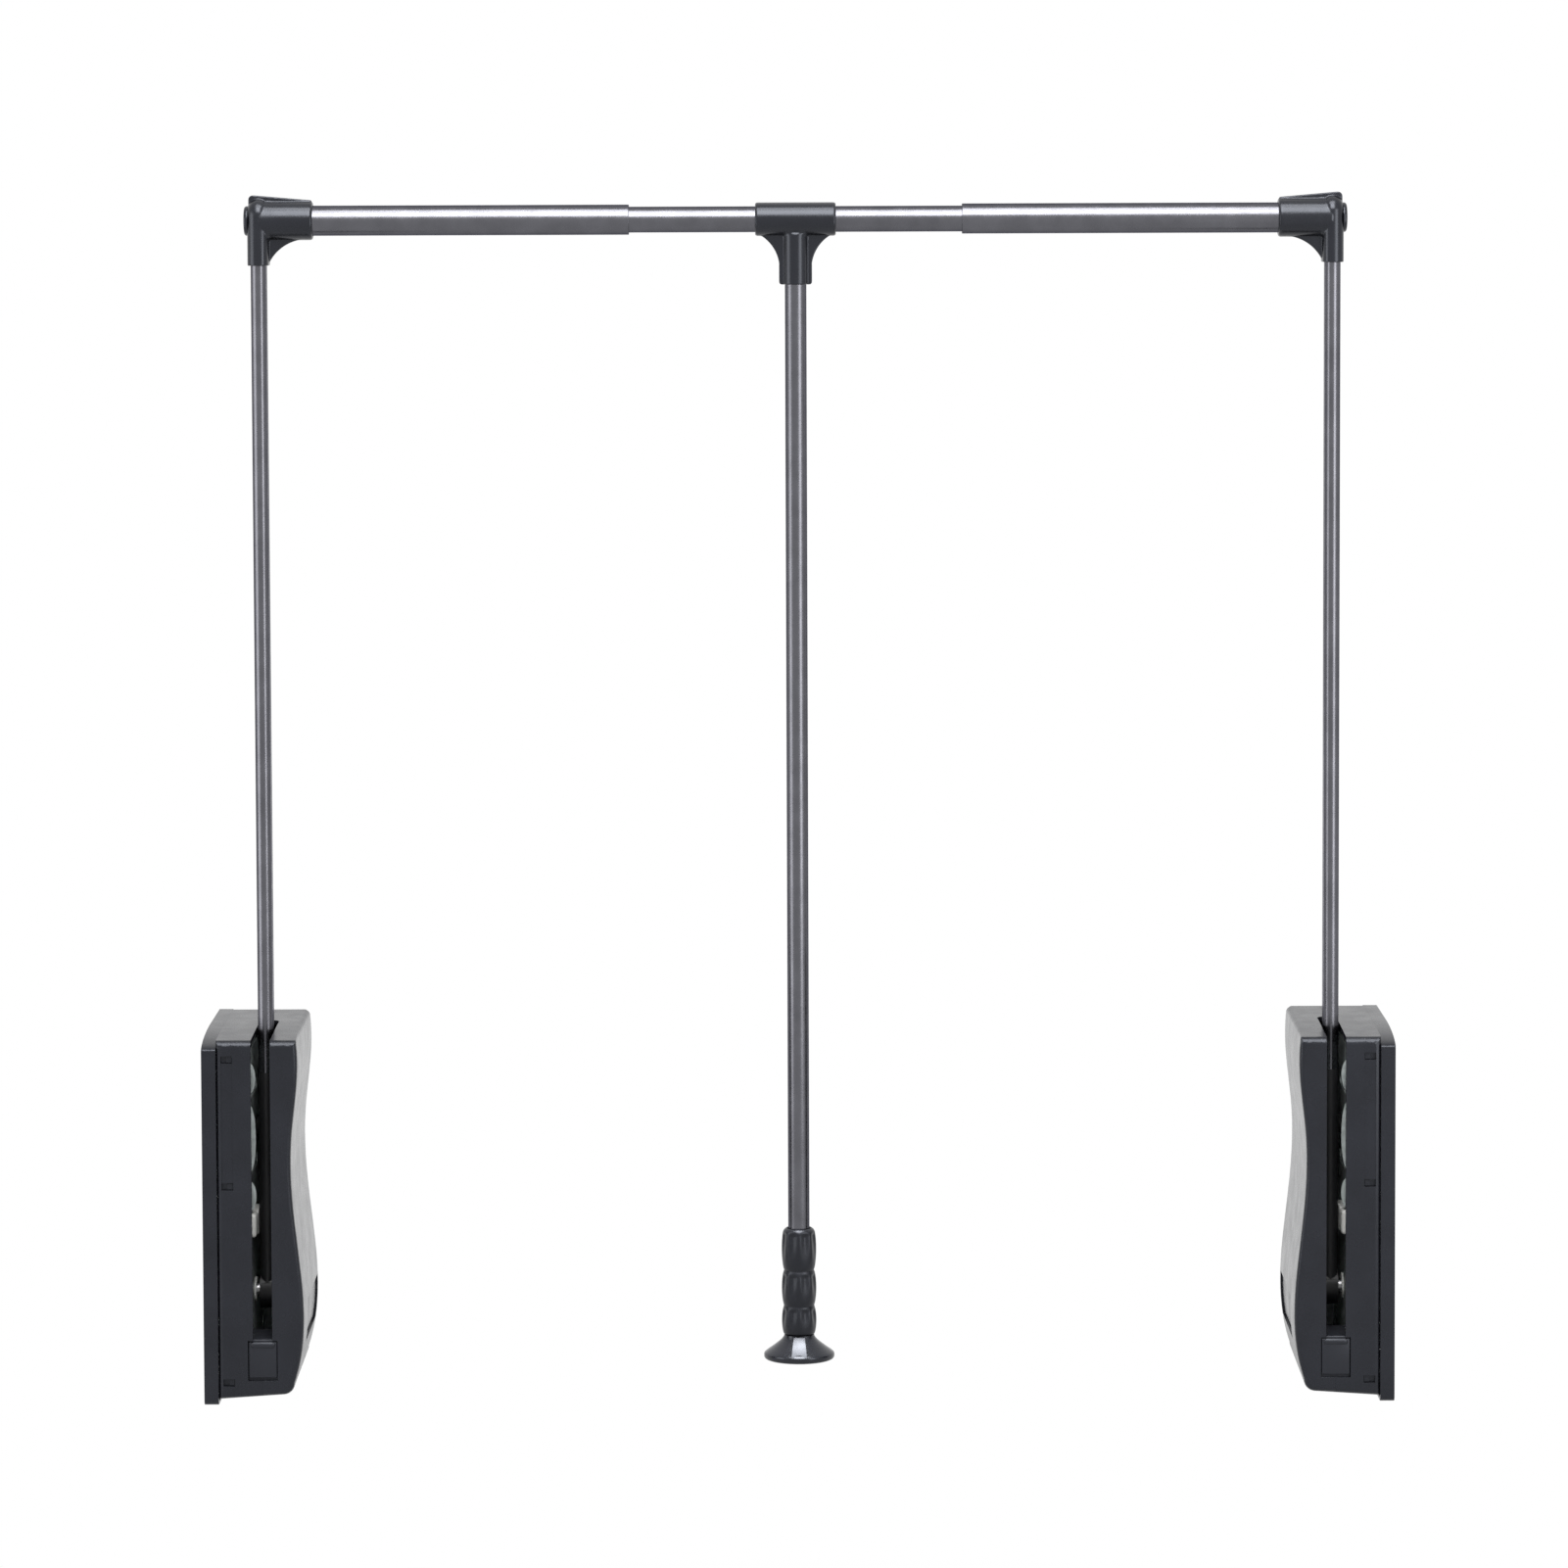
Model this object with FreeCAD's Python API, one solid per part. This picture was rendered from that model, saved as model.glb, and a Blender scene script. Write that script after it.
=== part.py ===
import FreeCAD, Part
import math
import os

# Pull-down wardrobe lift: two sprung housings on facing walls, two arms, a telescopic
# rail between them and a pull rod that hangs from the middle of the rail.
# Millimetres. X runs from the left wall face to the right one, Y runs from the user to
# the back of the wardrobe, Z is up. The origin is the middle of the left wall screws,
# on the wall face. The left side is modelled, and the right side mirrors it.

V = FreeCAD.Vector

# ---------------------------------------------------------------- driving dimensions
# The lift as a whole
LIFT_WIDTH = 830.0            # wall face to wall face, rail drawn out
RAIL_LEVEL = 695.0            # rail axis above the middle of the wall screws
ARM_X = 41.0                  # middle plane of slot and arm, from the wall face
PIVOT_SETBACK = 55.0          # arm pivot behind the housing front; arm and rail stand over it
PIVOT_RISE = 72.0             # arm pivot above the foot of the housing
SWING = 105.0                 # degrees from raised to lowered

# Wall plate
PLATE_HEIGHT = 258.0
PLATE_DEPTH = 150.0
PLATE_SETBACK = 67.0          # front edge to the middle of the wall screws
PLATE_PANEL = 3.0
PLATE_RIM = 10.0              # height of the rim off the wall
PLATE_RIM_WALL = 2.2
PLATE_SWEEP = 75.0            # top front corner: length along the top
PLATE_DROP = 9.0              # top front corner: drop down the front
PLATE_CORNER = 4.0
SCREW_SPACING_Y = 98.0
SCREW_SPACING_Z = 178.0
WALL_SCREW_HOLE = 5.5

# Housing shells: widths are measured from the wall face
SHELL_WALL = 2.8
NECK_WIDTH = 66.0
SHOULDER_WIDTH = 66.7
WAIST_WIDTH = 62.0
HIP_WIDTH = 64.1
BELLY_WIDTH = 69.5
CHIN_WIDTH = 63.0
SHOULDER_DROP = 22.0          # shoulder and waist below the top of the housing
WAIST_DROP = 73.0
HIP_RISE = 127.0              # hip and belly above its foot
BELLY_RISE = 50.0
SHELL_TOP_ROUND = 4.0
SHELL_BOTTOM_ROUND = 8.0
SHELL_FLOOR_RAISE = 4.1       # shell floor above the foot of the wall plate, wall side
SHELL_FLOOR_SLOPE = 3.0       # further rise of the floor towards the room side
SHELL_SWEEP = 60.0            # stretch of the top that falls towards the front
SHELL_DROP = 2.0
SHELL_BROW = 5.0              # rounding from the top into the front
SHELL_FRONT_ROUND = 3.5
SHELL_REAR_ROUND = 9.0
SHELL_LEAN = 0.6              # how much narrower the shell is at its rear
SHELL_SIDE_ROUND = 7.0        # bottom and top rear corners, seen from the side
SLOT_WIDTH = 13.5
SLOT_RUN = 90.0               # how far the slot runs back over the top
RECESS_LENGTH = 95.0          # bare recess on the belly
RECESS_HEIGHT = 31.0
RECESS_DEPTH = 3.4
RECESS_REAR = 13.0            # recess to the rear face
RECESS_RISE = 52.0            # middle of the recess above the foot of the housing
TAB_WIDTH = 8.0
TAB_HEIGHT = 5.0
TAB_THICKNESS = 1.6
TAB_DROPS = (15.0, 104.0)     # upper snap tabs below the top of the housing
TAB_RISE = 16.0               # lowest snap tab above its foot
CHANNEL_DEPTH = 0.5           # shallow channel between the two upper snap tabs
BOSS_DIAMETER = 8.0
BOSS_SETBACK = 30.0           # front screw boss behind the housing front
BOSS_REAR = 12.0              # rear screw bosses to the rear face
BOSS_END = 16.0               # screw bosses to the top and the foot of the housing
BOSS_PILOT = 2.6
BOSS_RIB = 2.0
SHELL_SCREW_SHANK = 3.0
SHELL_SCREW_HEAD = 6.0
SHELL_SCREW_LENGTH = 36.0

# Slot insert that the lowered arm rests on
INSERT_WIDTH = 20.0
INSERT_HEIGHT = 28.0
INSERT_DEPTH = 20.0
INSERT_FACE = 2.2             # panel thickness; it lies a little behind the shell front
INSERT_LIP = 5.0
INSERT_LAND = 1.0             # the lip stops this far short of the sides
INSERT_PAD_ROUND = 2.0

# Steel chassis
SHEET = 2.0
CHASSIS_END = 11.5            # chassis ends to the ends of the housing
CHASSIS_FRONT = 9.0           # base plate behind the housing front
WEB_GAP = 20.0                # front face of the rear web to the rear of the housing
CHEEK_FRONT = 26.0            # cheeks behind the housing front
CHEEK_GAP = 19.0              # between the two cheeks, centred on the arm
CHEEK_HEAD = 12.0             # cheeks below the top of the housing
CHEEK_FOOT = 24.0             # cheeks above its foot
CHEEK_CORNER = 11.0
BEND_RADIUS = 4.0
WINDOW_HEIGHT = 10.0
WINDOW_LENGTH = 52.0
WINDOW_SETBACK = 6.6          # windows behind the front edge of the cheeks
WINDOW_DROPS = (42.0, 96.0)   # windows below the top of the housing
ACCESS_HOLE = 12.0
POST_DIAMETER = 8.0
POST_RIVET = 5.0
POST_FRONT = 4.0              # front posts behind the front edge of the cheeks
POST_REAR = 12.0              # rear posts in front of the web
POST_DROPS = (28.0, 59.0)     # front and rear post of the upper pair
POST_LIFTS = (68.0, 65.0)     # front and rear post of the middle pair, above the pivot
POST_RISE = 28.0              # lowest post above the foot of the housing
POST_TOE = 8.0                # lowest post behind the front edge of the cheeks

# Arm, its pivot and its stops
ARM_WIDE = 10.5
ARM_DEEP = 22.0
ARM_WALL = 1.4
FOOT_TOP = 155.0              # arm tube starts this far above the pivot, just inside the housing
FOOT_TONGUE = 32.0
FOOT_HUB = 26.0
SHAFT_DIAMETER = 10.0
SHAFT_HEAD = 14.0
SHAFT_HEAD_THICK = 1.8
BUSH_DIAMETER = 14.0
BUSH_FLANGE = 18.0
BUSH_FLANGE_THICK = 1.5
STOP_DIAMETER = 13.0
STOP_RISE = 113.0             # stop above the pivot
GUIDE_HEIGHT = 17.0
GUIDE_LENGTH = 36.0
GUIDE_RISE = 50.0             # middle of the guide above the pivot

# Spring gear, outside the outer cheek
CRANK_RADIUS = 40.0
CRANK_THICK = 3.4
CRANK_HUB = 22.0
CRANK_EYE = 17.0
CRANK_PIN = 8.0
PIN_SHOULDER = 12.0
SPRING_X = 15.0
SPRING_ROD = 7.0
ROD_EYE = 18.0
ROD_EYE_THICK = 9.6
COLLAR_GAP = 1.0              # spring collar above the rod eye
COLLAR_THICK = 3.0
SPRING_DIAMETER = 19.0
SPRING_WIRE = 2.8
SPRING_TURNS = 9
SEAT_RISE = 78.0              # underside of the spring seat above the pivot
SEAT_THICK = 3.0
SEAT_FLANGE = 20.0

# Damper
DAMPER_DROP = 20.0            # damper axis below the top of the housing
DAMPER_BLOCK = 16.0
DAMPER_STANDOFF = 10.7        # damper nose behind the head of the plunger
DAMPER_NOSE = 11.0
DAMPER_NOSE_LENGTH = 20.0
PLUNGER_DIAMETER = 5.0
PLUNGER_HEAD = 8.0
PLUNGER_HEAD_THICK = 3.0
PLUNGER_LENGTH = 38.0
PLUNGER_BORE_DEPTH = 28.0

# Rail and corner connectors
RAIL_OUTER = 21.0
RAIL_INNER = 18.0
RAIL_WALL = 1.2
RAIL_TUBE_END = 299.0         # inner end of the left outer tube, from the wall face
INNER_RAIL_LENGTH = 330.0
PLUG_FLANGE = 4.0
PLUG_SPIGOT = 14.0
CORNER_WIDE = 14.8
CORNER_DEEP = 26.3
CORNER_DROP = 31.0            # rail axis down to the mouth of the arm socket
CORNER_RISE = 17.0            # rail axis up to the crown of the connector
CORNER_REACH = 79.0           # mouth of the rail socket, from the wall face
CORNER_SLEEVE = 27.0
CORNER_RIB = 5.0
CORNER_RIB_RISE = 2.6
CORNER_LAND = 1.0             # rib and web stop this far short of the ends they run to
CORNER_WEB = 7.0
RAIL_INSERTION = 27.0
ARM_INSERTION = 18.0
CAP_DIAMETER = 20.7
CAP_THICK = 3.4
CAP_RECESS = 9.0
CORNER_SCREW_HEAD = 8.0
CORNER_SCREW_SHANK = 4.0
CORNER_SCREW_LENGTH = 10.0

# Tee, pull rod and grip
TEE_SLEEVE = 24.3
TEE_LENGTH = 53.0
TEE_ROUND = 2.0
TEE_STEM = 18.5
TEE_DROP = 45.5
TEE_WEB_WIDTH = 21.7
TEE_WEB = 5.0
TEE_LAND = 1.0                # web of the stem stops this far above its mouth
TEE_GUSSET = 24.0
TEE_SCREW = 3.0
TEE_SCREW_HEAD = 5.6
PULL_ROD = 15.0
PULL_ROD_WALL = 1.2
PULL_ROD_INSERTION = 31.0
GRIP_TOP = 709.5              # rail axis down to the top of the grip
GRIP_SEGMENTS = (29.0, 26.0, 21.0)
GRIP_BULGE = 24.6
GRIP_NECK = 21.6
GRIP_SOCKET = 50.0
FOOT_RIM = 49.7
FOOT_HEIGHT = 15.5
FOOT_RIM_THICK = 2.6
FOOT_HOLLOW = 3.0

# Clearances
RUN_CLEARANCE = 0.05          # radial, where one piece turns or slides in another
FIT_CLEARANCE = 0.05          # radial, where a tube is pushed into its socket
REST_GAP = 0.3                # between pieces that meet at the end of a travel
SEAM = 0.3                    # round loose inserts and windows
OVERCUT = 1.0                 # how far a cutter runs past the face it opens

# ---------------------------------------------------------------- derived places
MIDDLE_X = LIFT_WIDTH / 2.0
FRONT = -PLATE_SETBACK
REAR = FRONT + PLATE_DEPTH
BOTTOM = -PLATE_HEIGHT / 2.0
TOP = PLATE_HEIGHT / 2.0
SHELL_FLOOR = BOTTOM + SHELL_FLOOR_RAISE
SHOULDER_LEVEL = TOP - SHOULDER_DROP
WAIST_LEVEL = TOP - WAIST_DROP
HIP_LEVEL = BOTTOM + HIP_RISE
BELLY_LEVEL = BOTTOM + BELLY_RISE
RECESS_LEVEL = BOTTOM + RECESS_RISE
TAB_LEVELS = [TOP - drop for drop in TAB_DROPS] + [BOTTOM + TAB_RISE]
PIVOT_Y = FRONT + PIVOT_SETBACK
PIVOT_Z = BOTTOM + PIVOT_RISE
CHASSIS_LOW = BOTTOM + CHASSIS_END
CHASSIS_HIGH = TOP - CHASSIS_END
CHEEK_OUT = ARM_X - CHEEK_GAP / 2.0
CHEEK_IN = ARM_X + CHEEK_GAP / 2.0
CHEEK_FRONT_Y = FRONT + CHEEK_FRONT
CHEEK_LOW = BOTTOM + CHEEK_FOOT
CHEEK_HIGH = TOP - CHEEK_HEAD
WEB_Y = REAR - WEB_GAP
WINDOW_LEVELS = [TOP - drop for drop in WINDOW_DROPS]
POST_PLACES = (
    (CHEEK_FRONT_Y + POST_FRONT, TOP - POST_DROPS[0]),
    (WEB_Y - POST_REAR, TOP - POST_DROPS[1]),
    (CHEEK_FRONT_Y + POST_FRONT, PIVOT_Z + POST_LIFTS[0]),
    (WEB_Y - POST_REAR, PIVOT_Z + POST_LIFTS[1]),
    (CHEEK_FRONT_Y + POST_TOE, BOTTOM + POST_RISE),
)
STOP_LEVEL = PIVOT_Z + STOP_RISE
GUIDE_LEVEL = PIVOT_Z + GUIDE_RISE
SEAT_LEVEL = PIVOT_Z + SEAT_RISE
DAMPER_LEVEL = TOP - DAMPER_DROP
BASE_TOP = PLATE_PANEL + SHEET
ARM_REAR = PIVOT_Y + ARM_DEEP / 2.0
ARM_SLOPE = math.radians(SWING - 90.0)
FOOT_LEVEL = PIVOT_Z + FOOT_TOP
SLOT_BOTTOM = (PIVOT_Z - (PIVOT_Y - FRONT) * math.tan(ARM_SLOPE)
               - (ARM_DEEP / 2.0 + REST_GAP) / math.cos(ARM_SLOPE))
CRANK_ANGLE = math.radians(SWING / 2.0)
PIN_Y = PIVOT_Y + CRANK_RADIUS * math.cos(CRANK_ANGLE)
PIN_Z = PIVOT_Z - CRANK_RADIUS * math.sin(CRANK_ANGLE)
PIN_Y_FAR = PIVOT_Y + CRANK_RADIUS
CRANK_OUT = CHEEK_OUT - SHEET - CRANK_THICK - SEAM
CRANK_IN = CHEEK_OUT - SHEET - SEAM
COLLAR_LEVEL = PIN_Z + ROD_EYE / 2.0 + COLLAR_GAP
SPRING_LEVEL = COLLAR_LEVEL + COLLAR_THICK
SPRING_LENGTH = SEAT_LEVEL - SPRING_LEVEL
ARM_TOP = RAIL_LEVEL - CORNER_DROP + ARM_INSERTION
CORNER_OUT = ARM_X - CORNER_WIDE / 2.0
RAIL_START = CORNER_REACH - RAIL_INSERTION
RAIL_BORE = RAIL_OUTER - 2.0 * RAIL_WALL
STEM_MOUTH = RAIL_LEVEL - TEE_DROP
ROD_TOP = STEM_MOUTH + PULL_ROD_INSERTION
GRIP_LEVEL = RAIL_LEVEL - GRIP_TOP
GRIP_BASE = GRIP_LEVEL - sum(GRIP_SEGMENTS)
BOSS_PLACES = ((REAR - BOSS_REAR, BOTTOM + BOSS_END), (REAR - BOSS_REAR, TOP - BOSS_END),
               (FRONT + BOSS_SETBACK, BOTTOM + BOSS_END))
WALL_SCREWS = [(sy * SCREW_SPACING_Y / 2.0, sz * SCREW_SPACING_Z / 2.0) for sy in (-1, 1) for sz in (-1, 1)]
QUARTER = 0.5523              # handle length of a Bezier quarter turn


# ---------------------------------------------------------------- shape helpers
def block(x0, x1, y0, y1, z0, z1):
    """A box between two corners."""
    return Part.makeBox(x1 - x0, y1 - y0, z1 - z0, V(x0, y0, z0))


def rod_x(x0, x1, y, z, diameter):
    """A round bar along X."""
    return Part.makeCylinder(diameter / 2.0, x1 - x0, V(x0, y, z), V(1, 0, 0))


def rod_y(x, y0, y1, z, diameter):
    """A round bar along Y."""
    return Part.makeCylinder(diameter / 2.0, y1 - y0, V(x, y0, z), V(0, 1, 0))


def rod_z(x, y, z0, z1, diameter):
    """A round bar along Z."""
    return Part.makeCylinder(diameter / 2.0, z1 - z0, V(x, y, z0), V(0, 0, 1))


def on_yz(x):
    """Places outline points on the plane at x."""
    return lambda a, b: V(x, a, b)


def on_xz(y):
    """Places outline points on the plane at y."""
    return lambda a, b: V(a, y, b)


def on_xy(z):
    """Places outline points on the plane at z."""
    return lambda a, b: V(a, b, z)


def outline(place, corners):
    """A closed wire round corners (a, b, cut before, cut after), each cut a smooth bend."""
    points = [place(a, b) for a, b, before, after in corners]
    edges = []
    last = None
    first = None
    for index, (a, b, before, after) in enumerate(corners):
        here = points[index]
        back = (points[index - 1] - here).normalize()
        ahead = (points[(index + 1) % len(points)] - here).normalize()
        start = here + back * before
        end = here + ahead * after
        if last is None:
            first = start
        else:
            edges.append(Part.LineSegment(last, start).toShape())
        if before > 0:
            edges.append(bend(start, here, end))
        last = end
    edges.append(Part.LineSegment(last, first).toShape())
    return Part.Wire(edges)


def bend(start, corner, end):
    """A quarter-ellipse-like edge that leaves start and meets end towards the corner."""
    curve = Part.BezierCurve()
    curve.setPoles([start, start + (corner - start) * QUARTER, end + (corner - end) * QUARTER, end])
    return curve.toShape()


def slab(wire, thickness):
    """A flat outline given a thickness, a vector."""
    return Part.Face(wire).extrude(thickness)


def oval(x, y, z0, z1, wide, deep):
    """A flat-oval bar along Z: straight sides, half-round front and back."""
    r = wide / 2.0
    half = deep / 2.0 - r
    edges = [
        Part.LineSegment(V(x + r, y - half, z0), V(x + r, y + half, z0)).toShape(),
        Part.Arc(V(x + r, y + half, z0), V(x, y + half + r, z0), V(x - r, y + half, z0)).toShape(),
        Part.LineSegment(V(x - r, y + half, z0), V(x - r, y - half, z0)).toShape(),
        Part.Arc(V(x - r, y - half, z0), V(x, y - half - r, z0), V(x + r, y - half, z0)).toShape(),
    ]
    return slab(Part.Wire(edges), V(0, 0, z1 - z0))


def obround_x(x0, x1, y0, y1, z, height):
    """A round-ended cutter along X, long in Y."""
    r = height / 2.0
    return block(x0, x1, y0 + r, y1 - r, z - r, z + r).fuse(
        [rod_x(x0, x1, y0 + r, z, height), rod_x(x0, x1, y1 - r, z, height)])


def ring_x(x0, x1, y, z, outer, inner):
    """A round tube along X."""
    return rod_x(x0, x1, y, z, outer).cut(rod_x(x0, x1, y, z, inner))


def clean(shape):
    """One tidy solid, with faces merged where a union left seams."""
    return shape.removeSplitter()


# ---------------------------------------------------------------- wall plate
def plate_outline(x, inset):
    """Side view of the wall plate, top front corner swept down."""
    corner = PLATE_CORNER
    return outline(on_yz(x), [
        (FRONT + inset, BOTTOM + inset, corner, corner),
        (REAR - inset, BOTTOM + inset, corner, corner),
        (REAR - inset, TOP - inset, corner, corner),
        (FRONT + inset, TOP - inset, PLATE_SWEEP, PLATE_DROP),
    ])


def snap_tab(level):
    """A tab behind the shell front, with a hook that clicks into its window."""
    behind = FRONT + SHELL_WALL + SEAM
    side = PLATE_RIM + SHELL_FRONT_ROUND
    arm = block(PLATE_PANEL, side + TAB_WIDTH - SEAM, behind, behind + TAB_THICKNESS,
                level - TAB_HEIGHT / 2.0, level + TAB_HEIGHT / 2.0)
    hook = block(side + TAB_WIDTH / 2.0, side + TAB_WIDTH - SEAM, behind - SHELL_WALL / 2.0, behind,
                 level - TAB_HEIGHT / 2.0 + SEAM, level + TAB_HEIGHT / 2.0 - SEAM)
    return arm.fuse(hook)


def wall_plate():
    """Moulded plate: panel, rim, wall screw holes and snap tabs."""
    plate = slab(plate_outline(0.0, 0.0), V(PLATE_RIM, 0, 0))
    plate = plate.cut(slab(plate_outline(PLATE_PANEL, PLATE_RIM_WALL), V(PLATE_RIM, 0, 0)))
    plate = plate.fuse([snap_tab(level) for level in TAB_LEVELS])
    plate = plate.cut([rod_x(0.0, PLATE_RIM, y, z, WALL_SCREW_HOLE) for y, z in WALL_SCREWS])
    return clean(plate)


# ---------------------------------------------------------------- housing shells
def body_section(y, inset, lean, start):
    """Front view of the housing body at one depth: flat wall side, S-curved room side.

    The inset shrinks it all round, the lean on the room side alone.
    """
    def at(width, level):
        return V(width - inset - lean, y, level)
    top = TOP - inset
    neck = NECK_WIDTH - inset - lean
    chin = CHIN_WIDTH - inset - lean
    neck_level = TOP - SHELL_TOP_ROUND
    chin_level = SHELL_FLOOR + SHELL_FLOOR_SLOPE + SHELL_BOTTOM_ROUND
    floor = SHELL_FLOOR + inset
    floor_end = V(chin - SHELL_BOTTOM_ROUND, y, floor + SHELL_FLOOR_SLOPE)
    side = Part.BSplineCurve()
    side.interpolate([
        V(neck, y, neck_level - inset), at(SHOULDER_WIDTH, SHOULDER_LEVEL), at(WAIST_WIDTH, WAIST_LEVEL),
        at(HIP_WIDTH, HIP_LEVEL), at(BELLY_WIDTH, BELLY_LEVEL), V(chin, y, chin_level + inset),
    ])
    shoulder = V(neck - SHELL_TOP_ROUND, y, top)
    return Part.Wire([
        Part.LineSegment(V(start, y, floor), V(start, y, top)).toShape(),
        Part.LineSegment(V(start, y, top), shoulder).toShape(),
        bend(shoulder, V(neck, y, top), V(neck, y, neck_level - inset)),
        side.toShape(),
        bend(V(chin, y, chin_level + inset), V(chin, y, floor + SHELL_FLOOR_SLOPE), floor_end),
        Part.LineSegment(floor_end, V(start, y, floor)).toShape(),
    ])


def side_prism(inset):
    """Side view of the housing body, extruded right across it."""
    corner = SHELL_SIDE_ROUND
    wire = outline(on_yz(0.0), [
        (FRONT + inset, SHELL_FLOOR - SHELL_SIDE_ROUND, 0.0, 0.0),
        (REAR - inset, SHELL_FLOOR - SHELL_SIDE_ROUND, 0.0, 0.0),
        (REAR - inset, TOP - inset, corner, corner),
        (FRONT + SHELL_SWEEP, TOP - inset, SHELL_SWEEP / 3.0, SHELL_SWEEP / 3.0),
        (FRONT + inset, TOP - inset - SHELL_DROP, SHELL_BROW, SHELL_BROW),
    ])
    return slab(wire, V(2.0 * BELLY_WIDTH, 0, 0))


def housing_body():
    """The closed outer form of both shells, edges rounded front and rear."""
    sections = []
    for degrees in (0, 30, 60, 90):
        turn = math.radians(degrees)
        inset = SHELL_FRONT_ROUND * (1.0 - math.sin(turn))
        y = FRONT + SHELL_FRONT_ROUND * (1.0 - math.cos(turn))
        sections.append(body_section(y, inset, 0.0, PLATE_RIM + inset))
    for degrees in (0, 30, 60, 90):
        turn = math.radians(degrees)
        inset = SHELL_REAR_ROUND * (1.0 - math.cos(turn))
        y = REAR - SHELL_REAR_ROUND * (1.0 - math.sin(turn))
        sections.append(body_section(y, 0.0, SHELL_LEAN + inset, PLATE_RIM))
    return Part.makeLoft(sections, True, True).common(side_prism(0.0))


def housing_cavity(wall):
    """The inside of both shells at a given wall, open towards the wall plate."""
    front = FRONT + wall
    rear = REAR - wall
    bend_start = REAR - SHELL_REAR_ROUND
    sections = [
        body_section(front, wall, 0.0, 0.0),
        body_section(bend_start, wall, SHELL_LEAN, 0.0),
        body_section(rear, wall, SHELL_LEAN + SHELL_REAR_ROUND / 2.0, 0.0),
    ]
    return Part.makeLoft(sections, True, True).common(side_prism(wall))


def slot_cutter():
    """The slot up the front and back over the top."""
    left = ARM_X - SLOT_WIDTH / 2.0
    right = ARM_X + SLOT_WIDTH / 2.0
    rear = FRONT + SLOT_RUN
    top_level = TOP - SHELL_DROP - 2.0 * SHELL_WALL
    high = TOP + OVERCUT
    front = block(left, right, FRONT - OVERCUT, FRONT + 2.0 * SHELL_WALL, SLOT_BOTTOM, high)
    over = block(left, right, FRONT - OVERCUT, rear - SLOT_WIDTH / 2.0, top_level, high)
    end = rod_z(ARM_X, rear - SLOT_WIDTH / 2.0, top_level, high, SLOT_WIDTH)
    return front.fuse([over, end])


def insert_window(gap):
    """The opening in the shell front that the slot insert fills."""
    half = INSERT_WIDTH / 2.0 + gap
    return block(ARM_X - half, ARM_X + half, FRONT - OVERCUT, FRONT + 2.0 * SHELL_WALL,
                 SLOT_BOTTOM - INSERT_HEIGHT - gap, SLOT_BOTTOM)


def recess_window(border):
    """The outline of the bare recess, grown by a border and run right through the belly."""
    rear = REAR - RECESS_REAR + border
    half = RECESS_HEIGHT / 2.0 + border
    return block(ARM_X, 2.0 * BELLY_WIDTH, rear - RECESS_LENGTH - 2.0 * border, rear,
                 RECESS_LEVEL - half, RECESS_LEVEL + half)


def hollow_body():
    """Both shells in one, with slot, insert window and the recess on the belly.

    The floor of the recess follows the S curve, and the wall behind it keeps its thickness.
    """
    cavity = housing_cavity(SHELL_WALL).cut(recess_window(SHELL_WALL))
    shell = housing_body().cut(cavity).cut(housing_cavity(RECESS_DEPTH + SHELL_WALL))
    recess = recess_window(0.0).cut(housing_cavity(RECESS_DEPTH))
    return shell.cut([slot_cutter(), insert_window(SEAM), recess])


def boss_rib(x0, x1, y, z):
    """The rib that ties a screw boss to the nearest floor or roof of the shells."""
    half = BOSS_RIB / 2.0
    if z - BOTTOM < TOP - z:
        return block(x0, x1, y - half, y + half, BOTTOM, z)
    return block(x0, x1, y - half, y + half, z, TOP)


def outer_shell(shell):
    """Wall side half: windows for the snap tabs, hollow bosses for the screws."""
    half = shell.common(block(0.0, ARM_X, FRONT, REAR, BOTTOM, TOP))
    inside = housing_cavity(SHELL_WALL)
    side = PLATE_RIM + SHELL_FRONT_ROUND
    bosses = [rod_x(PLATE_RIM, ARM_X, y, z, BOSS_DIAMETER) for y, z in BOSS_PLACES]
    bosses += [boss_rib(PLATE_RIM, ARM_X, y, z).common(inside) for y, z in BOSS_PLACES]
    half = half.fuse(bosses)
    cuts = [block(side, side + TAB_WIDTH, FRONT - OVERCUT, FRONT + SHELL_WALL + SEAM,
                  level - TAB_HEIGHT / 2.0, level + TAB_HEIGHT / 2.0) for level in TAB_LEVELS]
    cuts.append(block(side, side + TAB_WIDTH, FRONT - OVERCUT, FRONT + CHANNEL_DEPTH,
                      TAB_LEVELS[1], TAB_LEVELS[0]))
    cuts += [rod_x(0.0, ARM_X, y, z, SHELL_SCREW_SHANK + 2.0 * FIT_CLEARANCE) for y, z in BOSS_PLACES]
    cuts += [rod_x(0.0, ARM_X - SHELL_SCREW_LENGTH / 2.0, y, z, SHELL_SCREW_HEAD + 2.0 * FIT_CLEARANCE)
             for y, z in BOSS_PLACES]
    return clean(half.cut(cuts))


def inner_shell(shell):
    """Room side half, with blind bosses that the screws bite into."""
    half = shell.common(block(ARM_X, 2.0 * BELLY_WIDTH, FRONT, REAR, BOTTOM, TOP))
    inside = housing_cavity(SHELL_WALL)
    bosses = [rod_x(ARM_X, 2.0 * BELLY_WIDTH, y, z, BOSS_DIAMETER).common(inside) for y, z in BOSS_PLACES]
    half = half.fuse(bosses)
    depth = ARM_X + SHELL_SCREW_LENGTH / 2.0 + OVERCUT
    return clean(half.cut([rod_x(ARM_X, depth, y, z, BOSS_PILOT) for y, z in BOSS_PLACES]))


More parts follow.
